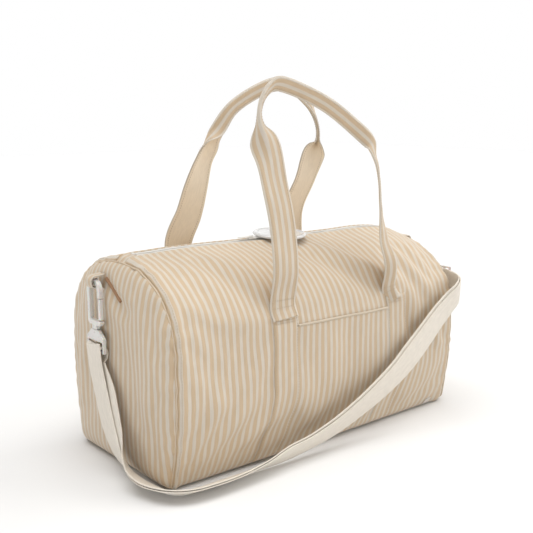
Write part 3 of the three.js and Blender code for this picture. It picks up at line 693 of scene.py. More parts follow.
def dress(grid):
    """Lean, folds, undulation and seam puckers on the plain lofted shell."""
    z = grid[..., 2]
    front = J < N_GIRTH / 2
    lean = np.where(front, shear_at(U, z, -1), shear_at(U, z, 1))
    under = smooth((J - N_SIDE + 1) / 8) * smooth((N_GIRTH - N_SIDE - J) / 8)
    depth = fold_depths(-1, FRONT_FOLDS) + fold_depths(1, BACK_FOLDS)
    soft = waves(3, 26, 80, 240)(U, V) * 0.7 + waves(5, 20, 26, 60)(U, V) * 0.12
    from_end = HALF_LENGTH - np.abs(U)
    pucker = waves(8, 10, 11, 26)(U * 0.15, V) * 0.85 * np.exp(-from_end / 15)
    calm = smooth((z - 3) / 26) * smooth((np.abs(grid[..., 1]) - ZIP_EDGE) / 26) * (1 - 0.9 * under)
    held = 1 - 0.55 * near(U, HANDLE_LEFT, 16) * (z > 60) * front
    out = (-depth * held + soft) * calm * smooth(from_end / 22) + pucker * calm
    # Grooves beside the bands, and a lip and a ridge along the end seams.
    beside = np.minimum(*(np.abs(np.abs(U - middle) - GROOVE) for middle in (HANDLE_LEFT, HANDLE_RIGHT)))
    out = out - 0.9 * near(beside, 0, 2.6) * (z < HANDLE_Z) * smooth((z - 6) / 10)
    out = out - 2.6 * (1 - smooth(from_end / 4.5)) + 1.5 * near(from_end, 7.5, 4.5)
    moved = grid + normals(grid) * out[..., None]
    moved[..., 0] -= lean * (1 - under)
    moved[..., 0] = np.clip(moved[..., 0], -HALF_LENGTH, HALF_LENGTH)
    moved[..., 2] = np.maximum(moved[..., 2], FLOOR_GAP)
    return moved


shell = dress(shell)

# ---------- cloth simulation: the lean shell settles and buckles between its sewn edges ----------
SIM_STEP = 2  # the simulated cloth has every second point of the shell
SIM_FRAMES = 26
SIM_SWELL = -0.012  # the cloth is cut this much larger than the room it has
SIM_LIMIT = 3.0  # how far a point may move
SIM_SMOOTHING = 8
LOOSE = 0.10  # how firmly the cloth away from its sewn edges is held


def settle(grid):
    """The shell's movement in a short cloth simulation, held at seams, zip, bands and floor."""
    coarse = grid[::SIM_STEP, ::SIM_STEP]
    n, m = coarse.shape[:2]
    mesh = bpy.data.meshes.new("cloth_work")
    mesh.from_pydata((coarse.reshape(-1, 3) * MM).tolist(), [], grid_faces(n, m))
    work = put_in_scene("cloth_work", mesh)
    u = U[::SIM_STEP, ::SIM_STEP]
    j = J[::SIM_STEP, ::SIM_STEP]
    z = coarse[..., 2]
    firm = (np.abs(u) > HALF_LENGTH - 7) | (z < 4) | (j < 4) | (j > N_GIRTH - 5)
    for centre in (HANDLE_LEFT, HANDLE_RIGHT):
        firm |= (np.abs(u - centre) < 15) & (z < HANDLE_Z - 2) & (z > 14)
    firm |= (u > HANDLE_LEFT) & (u < HANDLE_RIGHT) & (np.abs(z - POCKET_TOP) < 5) & (coarse[..., 1] < 0)
    group = work.vertex_groups.new(name="hold")
    group.add(np.nonzero(~firm.ravel())[0].tolist(), LOOSE, "REPLACE")
    group.add(np.nonzero(firm.ravel())[0].tolist(), 1.0, "REPLACE")
    cloth = work.modifiers.new("cloth", "CLOTH")
    s = cloth.settings
    s.quality = 6
    s.mass = 0.25
    s.tension_stiffness = s.compression_stiffness = 25
    s.shear_stiffness = 8
    s.bending_stiffness = 3.5
    s.tension_damping = s.compression_damping = s.shear_damping = 12
    s.bending_damping = 2
    s.vertex_group_mass = "hold"
    s.pin_stiffness = 0.6
    s.shrink_min = SIM_SWELL
    s.effector_weights.gravity = 0.6
    cloth.collision_settings.use_collision = False
    cloth.point_cache.frame_start = 1
    cloth.point_cache.frame_end = SIM_FRAMES
    scene = bpy.context.scene
    for number in range(1, SIM_FRAMES + 1):
        scene.frame_set(number)
    shape = work.evaluated_get(bpy.context.evaluated_depsgraph_get()).data
    moved = np.empty(len(shape.vertices) * 3)
    shape.vertices.foreach_get("co", moved)
    moved = moved.reshape(n, m, 3) / MM - coarse
    bpy.data.objects.remove(work)
    bpy.data.meshes.remove(mesh)
    scene.frame_set(1)
    size = np.linalg.norm(moved, axis=-1, keepdims=True)
    moved = moved / np.maximum(size, 1e-9) * SIM_LIMIT * np.tanh(size / SIM_LIMIT)
    fine_i = np.arange(grid.shape[0]) / SIM_STEP
    fine_j = np.arange(grid.shape[1]) / SIM_STEP
    rows = np.stack([sampled(moved[i], np.arange(m), fine_j) for i in range(n)])
    full = np.stack([sampled(rows[:, k], np.arange(n), fine_i) for k in range(grid.shape[1])], 1)
    for _ in range(SIM_SMOOTHING):
        full[1:-1] = (full[:-2] + 2 * full[1:-1] + full[2:]) / 4
        full[:, 1:-1] = (full[:, :-2] + 2 * full[:, 1:-1] + full[:, 2:]) / 4
    return full


shell = shell + settle(shell)
shell[..., 2] = np.maximum(shell[..., 2], FLOOR_GAP)
shell_normals = normals(shell)


def on_shell(u, j, out=0.0):
    """Points on the shell at cloth position u along it and place j round it, moved out by a distance."""
    i = np.clip((np.asarray(u, float) + HALF_LENGTH) / (2 * HALF_LENGTH) * (NX - 1), 0, NX - 1.001)
    j = np.clip(np.asarray(j, float), 0, N_GIRTH - 1.001)
    i, j = np.broadcast_arrays(i, j)
    a = i.astype(int)
    b = j.astype(int)
    s = (i - a)[..., None]
    t = (j - b)[..., None]

    def pick(grid):
        low = grid[a, b] * (1 - t) + grid[a, b + 1] * t
        high = grid[a + 1, b] * (1 - t) + grid[a + 1, b + 1] * t
        return low * (1 - s) + high * s

    return pick(shell) + unit(pick(shell_normals)) * np.asarray(out, float)[..., None]


CLOTH = 1.2
LINING_IN = 3.0  # how far inside the shell the lining hangs
shell_uv = np.stack([U, V], -1)


def shell_piece(node, j0, j1, hem=None):
    """One panel between two places round the shell, thickened at the hem beside the zip."""
    top = shell[:, j0 : j1 + 1].copy()
    out = shell_normals[:, j0 : j1 + 1]
    bottom = top - out * CLOTH
    if hem:
        for k, amount in zip(hem, (0.7, 0.9, 0.4)):
            top[:, k] += out[:, k] * amount
    slab(f"{node}_cloth", top, bottom, shell_uv[:, j0 : j1 + 1], stripe_mat, node=node)


LAST = N_GIRTH - 1
shell_piece("front_panel", 0, N_SIDE - 1, hem=(0, 1, 2))
shell_piece("back_panel", LAST - N_SIDE + 1, LAST, hem=(-1, -2, -3))
shell_piece("base_panel", N_SIDE - 1, LAST - N_SIDE + 1)

# The lining hangs just inside the shell, open under the zip.
inside = shell[2:-2] - shell_normals[2:-2] * LINING_IN
inside[..., 2] = np.maximum(inside[..., 2], 5.2)
inside_bottom = inside - shell_normals[2:-2] * 0.8
inside_bottom[..., 2] = np.maximum(inside_bottom[..., 2], 6.0)
slab("lining_cloth", inside, inside_bottom, shell_uv[2:-2], lining_mat, node="lining")

# ---------- end panels ----------
END_MIDDLE_Z = 100.0
N_RINGS = 44
END_FOLDS = [  # on an end panel, from (y, z) to (y, z), with half width and depth
    ((14, 226), (-40, 190), 9, 3.2),
    ((-70, 236), (-98, 150), 9, 2.6),
    ((-96, 120), (-84, 30), 8, 2.2),
    ((60, 236), (92, 170), 10, 2.6),
    ((88, 130), (96, 60), 9, 2.4),
    ((-30, 150), (-64, 60), 14, 1.8),
    ((40, 140), (58, 50), 14, 1.8),
]


def end_cloth(word, side, edge):
    """A domed end panel, sewn to the shell's edge."""
    top = np.linspace(0, 1, 8)[1:-1, None]
    loop = np.concatenate([edge, edge[-1] * (1 - top) + edge[0] * top])
    centre = np.array([0, 0, END_MIDDLE_Z])
    ripples = waves(20 + side, 22, 30, 90)
    rings = []
    for r in range(N_RINGS + 1):
        s = 1 - (r / N_RINGS) ** 1.35
        bulge = END_BULGE * (1 - max(s, 0.0) ** 8) ** 0.62
        ring = centre * (1 - s) + loop * s
        y, z = ring[:, 1], ring[:, 2]
        press = ripples(y, z) * 0.45 * min(1.0, 4 * (1 - s))
        press = press + waves(40, 16, 14, 30)(y, z) * 0.25 * math.exp(-(1 - s) * 14)
        for start, end, width, depth in END_FOLDS:
            press = press - depth * fold_shape(y, z, start, end, width, **END_FOLD) * min(1.0, 5 * (1 - s))
        ring[:, 0] = side * (HALF_LENGTH + 0.4 + bulge + press)
        ring[:, 2] = np.maximum(ring[:, 2], FLOOR_GAP + 2.5 * (1 - s))
        rings.append(ring)
    outer = np.array(rings)
    n, m = outer.shape[:2]
    inner = outer - (side * CLOTH, 0, 0)
    verts = np.concatenate([outer.reshape(-1, 3), inner.reshape(-1, 3)])
    faces = ring_faces(n, m, 0, side > 0) + ring_faces(n, m, n * m, side < 0)
    for a in range(m):
        b = (a + 1) % m
        quad = (b, a, a + n * m, b + n * m)
        faces.append(quad if side < 0 else quad[::-1])
    # The cloth follows the dome, so its length to the rim is longer than the flat distance.
    radial = np.linalg.norm(np.diff(outer, axis=0), axis=-1)
    arc = np.concatenate([np.cumsum(radial[::-1], axis=0)[::-1], np.zeros((1, m))])
    flat_out = outer[..., 1:] - centre[1:]
    reach = np.linalg.norm(flat_out, axis=-1)
    ratio = np.where(reach > 1, arc / np.maximum(reach, 1), 1.0)
    uvs = np.tile((flat_out * ratio[..., None]).reshape(-1, 2), (2, 1))
    obj = make(f"end_panel_{word}_cloth", verts, faces, uvs, stripe_mat, node=f"end_panel_{word}")
    bm = bmesh.new()
    bm.from_mesh(obj.data)
    bmesh.ops.remove_doubles(bm, verts=bm.verts, dist=1e-5)
    bmesh.ops.recalc_face_normals(bm, faces=bm.faces)
    bm.to_mesh(obj.data)
    bm.free()
    return obj


def end_seam(word, side, edge):
    """A narrow folded roll that lies in the groove between an end panel and the shell."""
    over = np.array([[0, 0, edge[0, 2] + 0.4]])
    route = catmull(np.concatenate([over, edge[:-3:5], edge[-1:], over]), 3)
    route[:, 0] = side * (HALF_LENGTH + 0.2)
    along_bag = np.array([1.0, 0, 0])
    across = np.cross(unit(np.gradient(route, axis=0)), along_bag)
    angles = np.linspace(0, 2 * np.pi, 8, endpoint=False)
    s = arc_lengths(route)
    wobble = 1.5 + 0.25 * np.sin(s / 3.1)
    offset = across[:, None] * np.cos(angles)[None, :, None] * wobble[:, None, None]
    offset = offset + along_bag * np.sin(angles)[None, :, None] * 1.3
    rings = route[:, None] + offset
    tube(f"end_seam_{word}_piping", rings, uv_grid(angles * 1.6, s), stripe_mat, node=f"end_seam_{word}")


end_pieces = []
for word, side in (("left", -1), ("right", 1)):
    edge = shell[0 if side < 0 else -1].copy()
    edge[:, 0] = side * HALF_LENGTH
    end_pieces.append(end_cloth(word, side, edge))
    end_seam(word, side, edge)

# ---------- stitches ----------
STITCH = 2.4
STITCH_GAP = 1.0
STITCH_R = 0.33
STITCH_SHAPE = ((0.0, 0.35, -0.15), (0.25, 1.0, 0.28), (0.75, 1.0, 0.28), (1.0, 0.35, -0.15))


def stitches(name, runs, body="bag"):
    """Rows of short thread stitches along lines; each run is a pair of dense points and their normals."""
    share, thickness, height = np.array(STITCH_SHAPE).T
    radius = STITCH_R * thickness
    verts = []
    faces = []
    uvs = []
    for points, lift in runs:
        points = np.asarray(points, float)
        lift = np.broadcast_to(np.asarray(lift, float), points.shape)
        s = arc_lengths(points)
        for k in range(int(s[-1] // (STITCH + STITCH_GAP))):
            places = k * (STITCH + STITCH_GAP) + STITCH * share
            centre = sampled(points, s, places)
            up = unit(sampled(lift, s, places))
            side = np.cross(up, unit(centre[-1:] - centre[:1]))
            faces += capped(4, 5, len(verts))
            for q in range(4):
                for a in np.linspace(0, 2 * np.pi, 5, endpoint=False):
                    rise = height[q] + radius[q] * math.sin(a)
                    verts.append(centre[q] + up[q] * rise + side[q] * radius[q] * math.cos(a))
                    uvs.append((places[q], a * 0.3))
    make(name, verts, faces, uvs, thread_mat, body)


# ---------- sewn bands ----------
BAND_T = 1.3
BAND_OUT = 0.25  # gap between the shell and a band
POCKET_OUT = 0.12
END_SEAM_STITCHES = HALF_LENGTH - 5.2


def sewn_patch(name, side, u0, u1, z0, z1, out, thick, material, nu=22, u_phase=0.0, stand=None):
    """A piece of cloth sewn over the shell; its rims turn down to the cloth beneath."""
    nj = 90
    j0, j1 = column_of(side, [z1, z0])
    uu, jj = np.meshgrid(np.linspace(u0, u1, nu), np.linspace(j0, j1, nj), indexing="ij")
    from_ends = np.minimum(np.arange(nj), np.arange(nj)[::-1])[None] * abs(j1 - j0) / nj * 3.7
    edge = np.minimum(np.minimum(uu - u0, u1 - uu), from_ends)
    round_off = np.sqrt(np.clip(1 - (1 - np.clip(edge / 1.6, 0, 1)) ** 2, 0, 1))
    raised = stand(uu, (jj - j0) / (j1 - j0)) if stand else 0 * uu
    top = on_shell(uu, jj, out + raised + thick * (0.25 + 0.75 * round_off))
    bottom = on_shell(uu, jj, out + raised)
    uv = np.stack([uu + u_phase, girth_at(jj)], -1)
    i, j = nu // 2, nj // 2
    facing = np.cross(top[i + 1, j] - top[i, j], top[i, j + 1] - top[i, j])
    if facing[1] * side < 0:
        top, bottom, uv = top[::-1], bottom[::-1], uv[::-1]
    slab(f"{name}_cloth", top, bottom, uv, material, node=name)


def line_on_shell(side, us, zs, out):
    """A line of points for stitches, and the way they stand up."""
    us, j = np.broadcast_arrays(np.asarray(us, float), column_of(side, zs))
    points = on_shell(us, j, out)
    return points, points - on_shell(us, j, out - 1.0)


for face, side in (("front", -1), ("back", 1)):
    runs = []
    for word, middle in (("left", HANDLE_LEFT), ("right", HANDLE_RIGHT)):
        u0 = middle - HANDLE_W / 2
        u1 = middle + HANDLE_W / 2
        sewn_patch(f"{face}_band_{word}", side, u0, u1, 5, HANDLE_Z + 1, BAND_OUT, BAND_T, band_mat)
        for u in (u0 + 2.2, u1 - 2.2):
            runs.append(line_on_shell(side, u, np.linspace(HANDLE_Z - 3, 9, 160), BAND_OUT + BAND_T))
        for z in (HANDLE_Z - 5.5, HANDLE_Z - 8.5):
            runs.append(line_on_shell(side, np.linspace(u0 + 2.5, u1 - 2.5, 30), z, 0.4 + BAND_T))
    for seam_u in (-END_SEAM_STITCHES, END_SEAM_STITCHES):
        runs.append(line_on_shell(side, seam_u, np.linspace(246, 16, 200), 0.15))
    stitches(f"{face}_stitching", runs)

# ---------- pocket ----------
HEM_MIDDLE = POCKET_TOP - 1.6
POCKET_LEFT = HANDLE_LEFT + HANDLE_W / 2 - 2
POCKET_RIGHT = HANDLE_RIGHT - HANDLE_W / 2 + 2


def pocket_stand(u, down):
    """The pocket's mouth bows off the panel a little between the bands."""
    width = HANDLE_RIGHT - HANDLE_LEFT - HANDLE_W
    t = (u - HANDLE_LEFT - HANDLE_W / 2) / width
    return 0.8 * np.sin(np.pi * np.clip(t, 0, 1)) ** 0.8 * np.exp(-down * 5.5)


sewn_patch(
    "front_pocket", -1, POCKET_LEFT, POCKET_RIGHT, 5, POCKET_TOP - 1.8, POCKET_OUT, 1.0, stripe_mat,
    nu=70, u_phase=3.4, stand=pocket_stand,
)


def pocket_hem():
    """The binding along the pocket's mouth, and its stitches."""
    us = np.linspace(POCKET_LEFT + 2, POCKET_RIGHT - 2, 80)
    j = column_of(-1, HEM_MIDDLE)
    raised = pocket_stand(us, 0.0)
    middle = on_shell(us, j, POCKET_OUT + 0.7 + raised)
    up = unit(on_shell(us, j - 0.5, 0.8 + raised) - on_shell(us, j + 0.5, 0.8 + raised))
    out = unit(on_shell(us, j, 2.0) - on_shell(us, j, 1.0))
    angles = np.linspace(0, 2 * np.pi, 12, endpoint=False)
    rise = np.sign(np.sin(angles)) * np.abs(np.sin(angles)) ** 0.7 * 1.5
    rings = middle[:, None] + up[:, None] * rise[:, None] + out[:, None] * 0.8 * np.cos(angles)[:, None]
    uv = uv_grid(3.0 * np.sin(angles), us)[..., ::-1]
    tube("pocket_hem_binding", rings, uv, hem_mat, node="pocket_hem")
    stitches("pocket_stitching", [(middle + out - (0, 0, 1.6), out)])


pocket_hem()

# ---------- handles ----------
# Stations: where the middle of the strap runs, in mm, which way its striped face looks, and how far it is
# folded in half along its length (0 flat, 1 folded).
FRONT_HANDLE = [
    ((-80.5, -112, 232), (0, -1, 0), 0),
    ((-80, -105, 284), (0, -1, 0), 0),
    ((-84, -96, 330), (0, -1, 0.05), 0),
    ((-86, -89, 360), (-0.1, -1, 0.05), 0.05),
    ((-89.5, -84.5, 380), (-0.35, -0.95, 0.05), 0.35),
    ((-93.5, -81, 397), (-0.6, -0.8, 0.1), 0.85),
    ((-92.5, -78, 414), (-0.64, -0.76, 0.15), 1),
    ((-86, -76, 429), (-0.62, -0.74, 0.3), 1),
    ((-74.5, -75, 441), (-0.4, -0.7, 0.7), 1),
    ((-60, -75, 445), (0, -0.62, 0.9), 1),
    ((-22, -75, 435), (0.28, -0.64, 0.71), 1),
    ((20, -75, 418), (0.28, -0.64, 0.71), 1),
    ((64, -75, 392), (0.35, -0.62, 0.66), 0.95),
    ((86, -77, 376), (0.6, -0.62, 0.45), 0.6),
    ((92, -82, 358), (0.7, -0.7, 0.15), 0.15),
    ((95.5, -88, 332), (0.7, -0.73, 0.05), 0.02),
    ((91.5, -97, 290), (0.66, -0.75, 0), 0),
    ((91.5, -104, 252), (0.6, -0.81, 0), 0.25),
    ((98.5, -110.5, 222), (0.55, -0.84, 0), 0.44),
]
BACK_HANDLE = [
    ((-90, 99, 240), (0.25, 1, 0), 0),
    ((-80, 88, 279), (0.15, 1, 0.05), 0),
    ((-76, 78, 312), (0, 1, 0.1), 0),
    ((-70, 70, 348), (-0.3, 0.95, 0.15), 0.15),
    ((-62.5, 65, 370), (-0.3, 0.9, 0.3), 0.45),
    ((-50, 61, 389), (-0.5, 0.4, 0.7), 0.92),
    ((-28, 58, 417), (-0.55, -0.1, 0.82), 1),
    ((12, 56, 439), (-0.4, -0.2, 0.9), 1),
    ((45, 55, 448), (0, -0.25, 1), 1),
    ((76, 54, 443), (0.35, -0.2, 0.95), 1),
    ((98, 54, 427), (0.7, 0.3, 0.6), 1),
    ((110, 55, 410), (0.66, 0.7, 0.3), 1),
    ((119, 56, 391), (0.66, 0.74, 0.1), 1),
    ((122, 59, 371), (0.6, 0.8, 0), 0.95),
    ((117, 63, 354), (0.3, 0.95, 0), 0.35),
    ((113.5, 74, 318), (0, 1, 0.1), 0),
    ((105, 93, 266), (0, 1, 0.1), 0),
]


def with_feet(side, stations, turned):
    """Adds the two feet, which lie on the sewn bands; the second can be turned as it leaves its band."""
    feet = []
    for middle, shift, fold in ((HANDLE_LEFT, 0.0, 0.0), (HANDLE_RIGHT, *turned)):
        places = np.array([middle + 0.4 * shift, middle + shift])
        heights = [HANDLE_Z - 4, HANDLE_Z + 15]
        low, high = on_shell(places, column_of(side, heights), BAND_OUT + BAND_T + 0.6)
        feet.append([(tuple(low), (0, side, 0), fold), (tuple(high), (fold, side, 0), fold)])
    return feet[0] + stations + feet[1][::-1]


FOLD_R = 1.0  # radius of the fold along the grip
CREASE_HALF = 2.0  # half the width of strap that bends in the fold
N_ACROSS = 25


def handle_layers(word, stations, body):
    """A handle's striped face, its lining and the rows of stitches that join them."""
    line = catmull([s[0] for s in stations], 12)
    looks = catmull([s[1] for s in stations], 12)
    fold = np.clip(catmull([(s[2], 0, 0) for s in stations], 12)[:, 0], 0, 1)
    for _ in range(3):
        looks[1:-1] = (looks[:-2] + 2 * looks[1:-1] + looks[2:]) / 4
    _, face, across = framed(line, looks)
    s = arc_lengths(line)
    crease = waves(60 if word == "front" else 61, 14, 24, 80)
    slack = crease(s, s * 0) * 0.5 * (1 - fold)
    half = HANDLE_W / 2
    w = np.linspace(-half, half, N_ACROSS)
    angle = (fold * math.radians(90))[:, None]

    def section(offset, narrow):
        """Points across one layer, offset outwards from the strap's middle surface."""
        width = w * (1 - narrow / half)
        size = np.abs(width)
        bend = np.minimum(size, CREASE_HALF) / CREASE_HALF
        lean = angle * bend**0.8
        reach = size * np.cos(angle) + FOLD_R * np.sin(angle) * smooth(bend)
        a = np.sign(width) * (reach + np.sin(lean) * offset)
        rise = half * 0.5 - np.maximum(size - CREASE_HALF, 0) - FOLD_R * bend**2
        curl = 0.8 * (size / half) ** 4 * (1 - fold)[:, None]
        f = rise * np.sin(angle) + np.cos(lean) * offset - curl
        f = f + slack[:, None] * np.cos(np.pi * width / HANDLE_W)
        return line[:, None] + across[:, None] * a[..., None] + face[:, None] * f[..., None], width

    for label, near_offset, far_offset, narrow, material in (
        ("", 1.35, 0.15, 0.0, handle_mat),
        ("_lining", -0.15, -0.95, 0.9, plain_mat),
    ):
        outer, width = section(near_offset, narrow)
        inner, _ = section(far_offset, narrow + 0.05)
        middle_high, _ = section((near_offset + far_offset) / 2, narrow - 0.35)
        ring = np.concatenate([outer, middle_high[:, -1:], inner[:, ::-1], middle_high[:, :1]], 1)
        uv = uv_grid(np.concatenate([width, [half], width[::-1], [-half]]), s)
        node = f"handle_{word}{label}"
        tube(f"{node}_cloth", ring, uv, material, body=body, node=node)
    top = section(1.35, 0.0)[0]
    top_lift = top - section(0.35, 0.0)[0]
    below = section(-0.95, 0.9)[0]
    below_lift = below - section(0.0, 0.9)[0]
    runs = []
    for c in (2, N_ACROSS - 3):
        runs += [(top[:, c], top_lift[:, c]), (below[:, c], below_lift[:, c])]
    for row in (10, -10, 14, -14):
        runs.append((top[row, 2:-2], top_lift[row, 2:-2]))
    stitches(f"handle_{word}_stitching", runs, body)


for word, side, stations, turned in (
    ("front", -1, FRONT_HANDLE, (-8.0, 0.48)),
    ("back", 1, BACK_HANDLE, (0.0, 0.0)),
):
    # The feet stay sewn to the bag.
    low = (0.0, side * HANDLE_Y * MM, (HANDLE_Z - 2) * MM)
    high = (0.0, side * HANDLE_Y * MM, (HANDLE_Z + 38) * MM)
    handle_layers(word, with_feet(side, stations, turned), ("bag", f"{word}_handle", low, high))

# ---------- zip ----------
ZIP_HALF = 222.0
TAPE_IN = 2.0
TAPE_OUT = 13.0
COIL_HALF = 214
COIL_PITCH = 1.6
PATCH_HALF = 14


def flat_slab(node, xs, ys, heights, thickness, material, turned, flip):
    """A thin sheet over a grid of x and y; its UVs are (x, y), or (y, x) when turned."""
    top = np.stack(np.broadcast_arrays(xs[:, None], ys[None], heights), -1)
    bottom = top - (0, 0, thickness)
    uv = top[..., [1, 0]] if turned else top[..., [0, 1]]
    if flip:
        top, bottom, uv = top[:, ::-1], bottom[:, ::-1], uv[:, ::-1]
    slab(f"{node}_cloth", top, bottom, uv, material, node=node)


for word, side in (("front", -1), ("back", 1)):
    xs = np.linspace(-ZIP_HALF, ZIP_HALF, 180)
    ys = side * np.array([0.9, TAPE_IN, 5, 9, TAPE_OUT])
    ripple = waves(90 + side, 12, 14, 50)(xs, xs * 0) * 0.12
    heights = (crest_z(xs) - 0.5 + ripple)[:, None] - 0.35 * np.linspace(0, 1, len(ys)) ** 2
    flat_slab(f"zip_tape_{word}", xs, ys, heights, 0.7, tape_mat, turned=False, flip=side < 0)
    # The coil: a row of small loops, alternating with the other side's.
    verts = []
    faces = []
    uvs = []
    for x in np.arange(-COIL_HALF, COIL_HALF, COIL_PITCH):
        x = x + (0 if side < 0 else COIL_PITCH / 2)
        z = float(crest_z(x)) - 0.1
        faces += capped(4, 4, len(verts))
        for y, lift, r in ((2.5, 0.0, 0.42), (1.4, 0.62, 0.45), (0.2, 0.75, 0.5), (-0.45, 0.35, 0.42)):
            for a in range(4):
                c, d = math.cos(a * math.pi / 2 + 0.78) * r, math.sin(a * math.pi / 2 + 0.78) * r
                verts.append((x + c * 1.3, side * y, z + lift + d))
                uvs.append((x + c, y + d))
    make(f"zip_coil_{word}_teeth", verts, faces, uvs, zip_mat, node=f"zip_coil_{word}")

for word, side in (("left", -1), ("right", 1)):
    xs = np.linspace(side * (ZIP_HALF - 4), side * (HALF_LENGTH - 1), 18)
    ys = np.linspace(-PATCH_HALF, PATCH_HALF, 15)
    end_drop = 3.2 * smooth((np.abs(xs) - 227) / 7)
    heights = (crest_z(xs) + 0.9 - end_drop)[:, None] - 0.7 * (np.abs(ys) / PATCH_HALF) ** 6
    flat_slab(f"zip_end_patch_{word}", xs, ys, heights, 1.0, stripe_mat, turned=True, flip=side < 0)


# ---------- moulded pieces: the frame's own shapes with rounded edges ----------
def rounded(node, name, material, body, bevel, segments=3, drop=0.0):
    """The frame's own shape for a node, with rounded edges and a material."""
    mesh = NODES[node].data.copy()
    mesh.name = name
    mesh.materials.clear()
    mesh.materials.append(material)
    bm = bmesh.new()
    bm.from_mesh(mesh)
    bmesh.ops.remove_doubles(bm, verts=bm.verts, dist=1e-5)
    bmesh.ops.dissolve_limit(bm, angle_limit=math.radians(2), verts=bm.verts, edges=bm.edges)
    sharp = [e for e in bm.edges if len(e.link_faces) == 2 and e.calc_face_angle(0) > math.radians(28)]
    bmesh.ops.bevel(
        bm, geom=sharp, offset=bevel * MM, offset_type="OFFSET", segments=segments, profile=0.5,
        affect="EDGES", clamp_overlap=True,
    )
    bmesh.ops.translate(bm, verts=bm.verts, vec=(0, 0, -drop * MM))
    bm.to_mesh(mesh)
    bm.free()
    mesh.shade_smooth()
    obj = put_in_scene(name, mesh)
    obj.matrix_world = NODES[node].matrix_world.copy()
    weighted = obj.modifiers.new("weighted", "WEIGHTED_NORMAL")
    weighted.keep_sharp = False
    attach(obj, body)
    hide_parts(node)
    return obj


for word in ("left", "right"):
    rounded(f"hook_{word}_body", f"hook_{word}_bow", hook_mat, f"{word}_hook", 1.3)
    rounded(f"hook_{word}_gate", f"hook_{word}_spring_gate", hook_mat, f"{word}_hook_gate", 0.7)
    rounded(f"hook_{word}_base", f"hook_{word}_swivel_base", hook_mat, "bag", 1.1)
adjuster = rounded("strap_adjuster", "strap_slide_adjuster", hook_mat, "bag", 0.6)
for word in ("left", "right"):
    rounded(f"zip_slider_{word}", f"zip_slider_{word}_shell", zip_mat, f"{word}_zip_slider", 0.3, 2)
rounded("zip_pull_left", "zip_pull_tongue", zip_mat, "left_zip_pull", 0.3, 2)
STOP_X = 217
rounded("zip_stop_left", "zip_stop_left_block", zip_mat, "bag", 0.3, 2)
rounded("zip_stop_right", "zip_stop_right_block", zip_mat, "bag", 0.3, 2, CREST_Z - float(crest_z(STOP_X)))

# ---------- round disc ----------
DISC_TILT = 0.06  # its front edge hangs lower


def lathe(node, name, profile, centre, z, segments):
    """A round piece of the disc from its profile (radius, height), tilted with the disc."""
    radius, height = np.array(profile).T[:, :, None]
    angles = np.linspace(0, 2 * np.pi, segments, endpoint=False)
    along = radius * np.sin(angles)
    heights = z + height + DISC_TILT * along
    rings = np.stack([centre[0] + radius * np.cos(angles), centre[1] + along, heights], -1)
    tube(name, rings, rings[..., :2], disc_mat, body="right_zip_slider", node=node)


DISC_Z = 254.3
DISC_PROFILE = [(6, 0.2), (30, 0), (32.6, 0.3), (34.3, 1.1), (35, 2.3), (34.7, 3.4), (33.7, 4.3), (32.2, 4.6)]
DISC_PROFILE += [(30.6, 4.3), (29.8, 3.5), (28.6, 3.1), (24, 3.4), (18, 4.1), (15, 4.5), (13.2, 4.6)]
DISC_PROFILE += [(5, 4.6)]
CAP_PROFILE = [(4, 0.1), (12.6, 0), (13.0, 0.5), (12.9, 2.4), (12.2, 3.7), (10.9, 4.6), (9.2, 5.0)]
CAP_PROFILE += [(6.4, 5.0), (5.4, 4.4), (4.6, 3.9), (2, 3.8)]
disc_centre = [(low + high) / 2 / MM for low, high in zip(*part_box("top_disc"))][:2]
lathe("top_disc", "top_disc_plate", DISC_PROFILE, disc_centre, DISC_Z, 96)
lathe("top_disc_boss", "top_disc_cap", CAP_PROFILE, disc_centre, DISC_Z + 4.9, 72)

# ---------- end tabs ----------
TAB_Z = 222.0
HOOK_X = 256.0


def tab_loop(word, side, y):
    """A fabric loop round the hook's bow."""
    x_in = HALF_LENGTH + END_BULGE + 1.2
    x_out = HOOK_X + 7.4
    loop = [(x_in - 3, 7.5), (x_in + 2, 6.8), (x_in + 8, 6.4), (x_out - 3, 5.6), (x_out, 2.5)]
    loop += [(x_out + 0.2, -2), (x_out - 1.5, -6.2), (x_out - 6, -7.9), (x_in + 5, -8.0), (x_in, -8.8)]
    loop += [(x_in - 3, -12)]
    path = catmull([(side * px, y, TAB_Z + pz) for px, pz in loop], 8)
    along = unit(np.gradient(path, axis=0))
    faces = np.cross(along, np.array([0, 1.0, 0]))
    rings, uv = flat_band(path, faces, 14, 1.5, crown=0.25)
    tube(f"end_tab_{word}_loop", rings, uv, band_mat, node=f"end_tab_{word}")


tab_loop("left", -1, 22)
tab_loop("right", 1, 10)


def tab_tail(word, panel, side, start, end):
    """The raw edge of a tab's tail, dark with painted shadow, which stands along a crease of the end panel,
    from (y, z) to (y, z).
    """
    cloth = np.array([v.co for v in panel.data.vertices]) / MM
    places = np.linspace(start, end, 26)
    near_by = np.argsort(np.sum((cloth[None, :, 1:] - places[:, None]) ** 2, -1), axis=1)[:, :4]
    x = side * (np.abs(cloth[near_by, 0]).max(1) + 0.4)
    x = np.convolve(np.pad(x, 2, "edge"), np.ones(5) / 5, "valid")
    points = np.column_stack([x, places])
    faces = np.tile([side * 0.6, 0.3, 0.75], (len(points), 1))
    rings, uv = flat_band(points, faces, 5.0, 1.4, crown=0.4)
    tube(f"end_tab_{word}_raw_edge_painted_shadow", rings, uv, tab_edge_shadow_mat)


tab_tail("left", end_pieces[0], -1, (15, 225), (-20, 203))

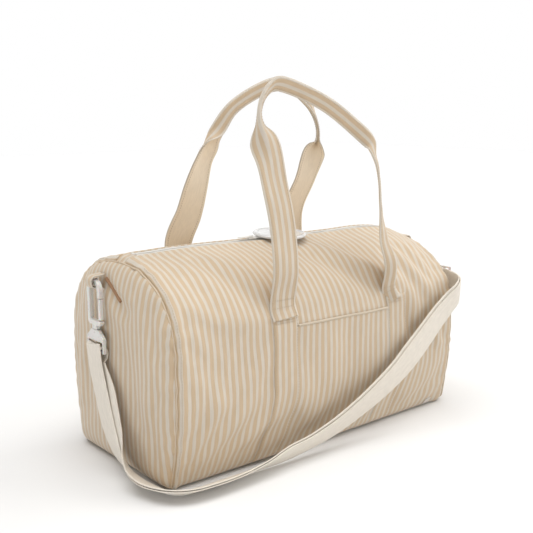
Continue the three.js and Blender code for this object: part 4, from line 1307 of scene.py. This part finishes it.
# ---------- pieces inside and small ----------
NODES["base_board"].material_slots[0].material = board_mat
label_u, label_j = np.meshgrid(np.linspace(206, 215, 8), column_of(-1, np.linspace(13, 5, 8)), indexing="ij")
label_top, label_bottom = (on_shell(label_u, label_j, 0 * label_u + out) for out in (1.2, 0.5))
slab(
    "seam_label_cloth", label_top, label_bottom, np.stack([label_u, label_j], -1), label_mat,
    node="seam_label",
)


# ---------- floor and light ----------
def studio():
    """A white floor, an even white sky that fades below, and two soft suns."""
    size = 6.0
    mesh = bpy.data.meshes.new("floor")
    corners = [(-size, -size, 0), (size, -size, 0), (size, size, 0), (-size, size, 0)]
    mesh.from_pydata(corners, [], [(0, 1, 2, 3)])
    g = Graph("floor")
    cloud = g.uneven(g.place(), 3, 3, 0.79, 0.81)
    mesh.materials.append(g.finish(g.grey(cloud), 0.9, Specular_IOR_Level=0.1))
    put_in_scene("floor", mesh)
    world = bpy.data.worlds.new("studio")
    world.use_nodes = True
    nt = world.node_tree
    back = nt.nodes["Background"]
    coords = nt.nodes.new("ShaderNodeTexCoord")
    split = nt.nodes.new("ShaderNodeSeparateXYZ")
    nt.links.new(coords.outputs["Generated"], split.inputs[0])
    fade = nt.nodes.new("ShaderNodeMapRange")
    for i, v in enumerate((0.34, 0.5, 1.0, 0.12)):
        fade.inputs[i + 1].default_value = v
    nt.links.new(split.outputs["Z"], fade.inputs[0])
    nt.links.new(fade.outputs[0], back.inputs["Strength"])
    back.inputs["Color"].default_value = (1, 1, 1, 1)
    bpy.context.scene.world = world
    for name, at, power, angle, colour in (
        ("key", (1.2, -0.5, 1.0), 1.3, 50, (1.0, 0.985, 0.96)),
        ("top", (-0.1, 0.0, 1.4), 2.6, 60, (1.0, 0.99, 0.975)),
    ):
        data = bpy.data.lights.new(name, "SUN")
        data.energy = power
        data.angle = math.radians(angle)
        data.color = colour
        lamp = put_in_scene(name, data)
        lamp.location = at
        lamp.rotation_euler = (Vector((0, 0, 0.1)) - Vector(at)).to_track_quat("-Z", "Y").to_euler()


studio()
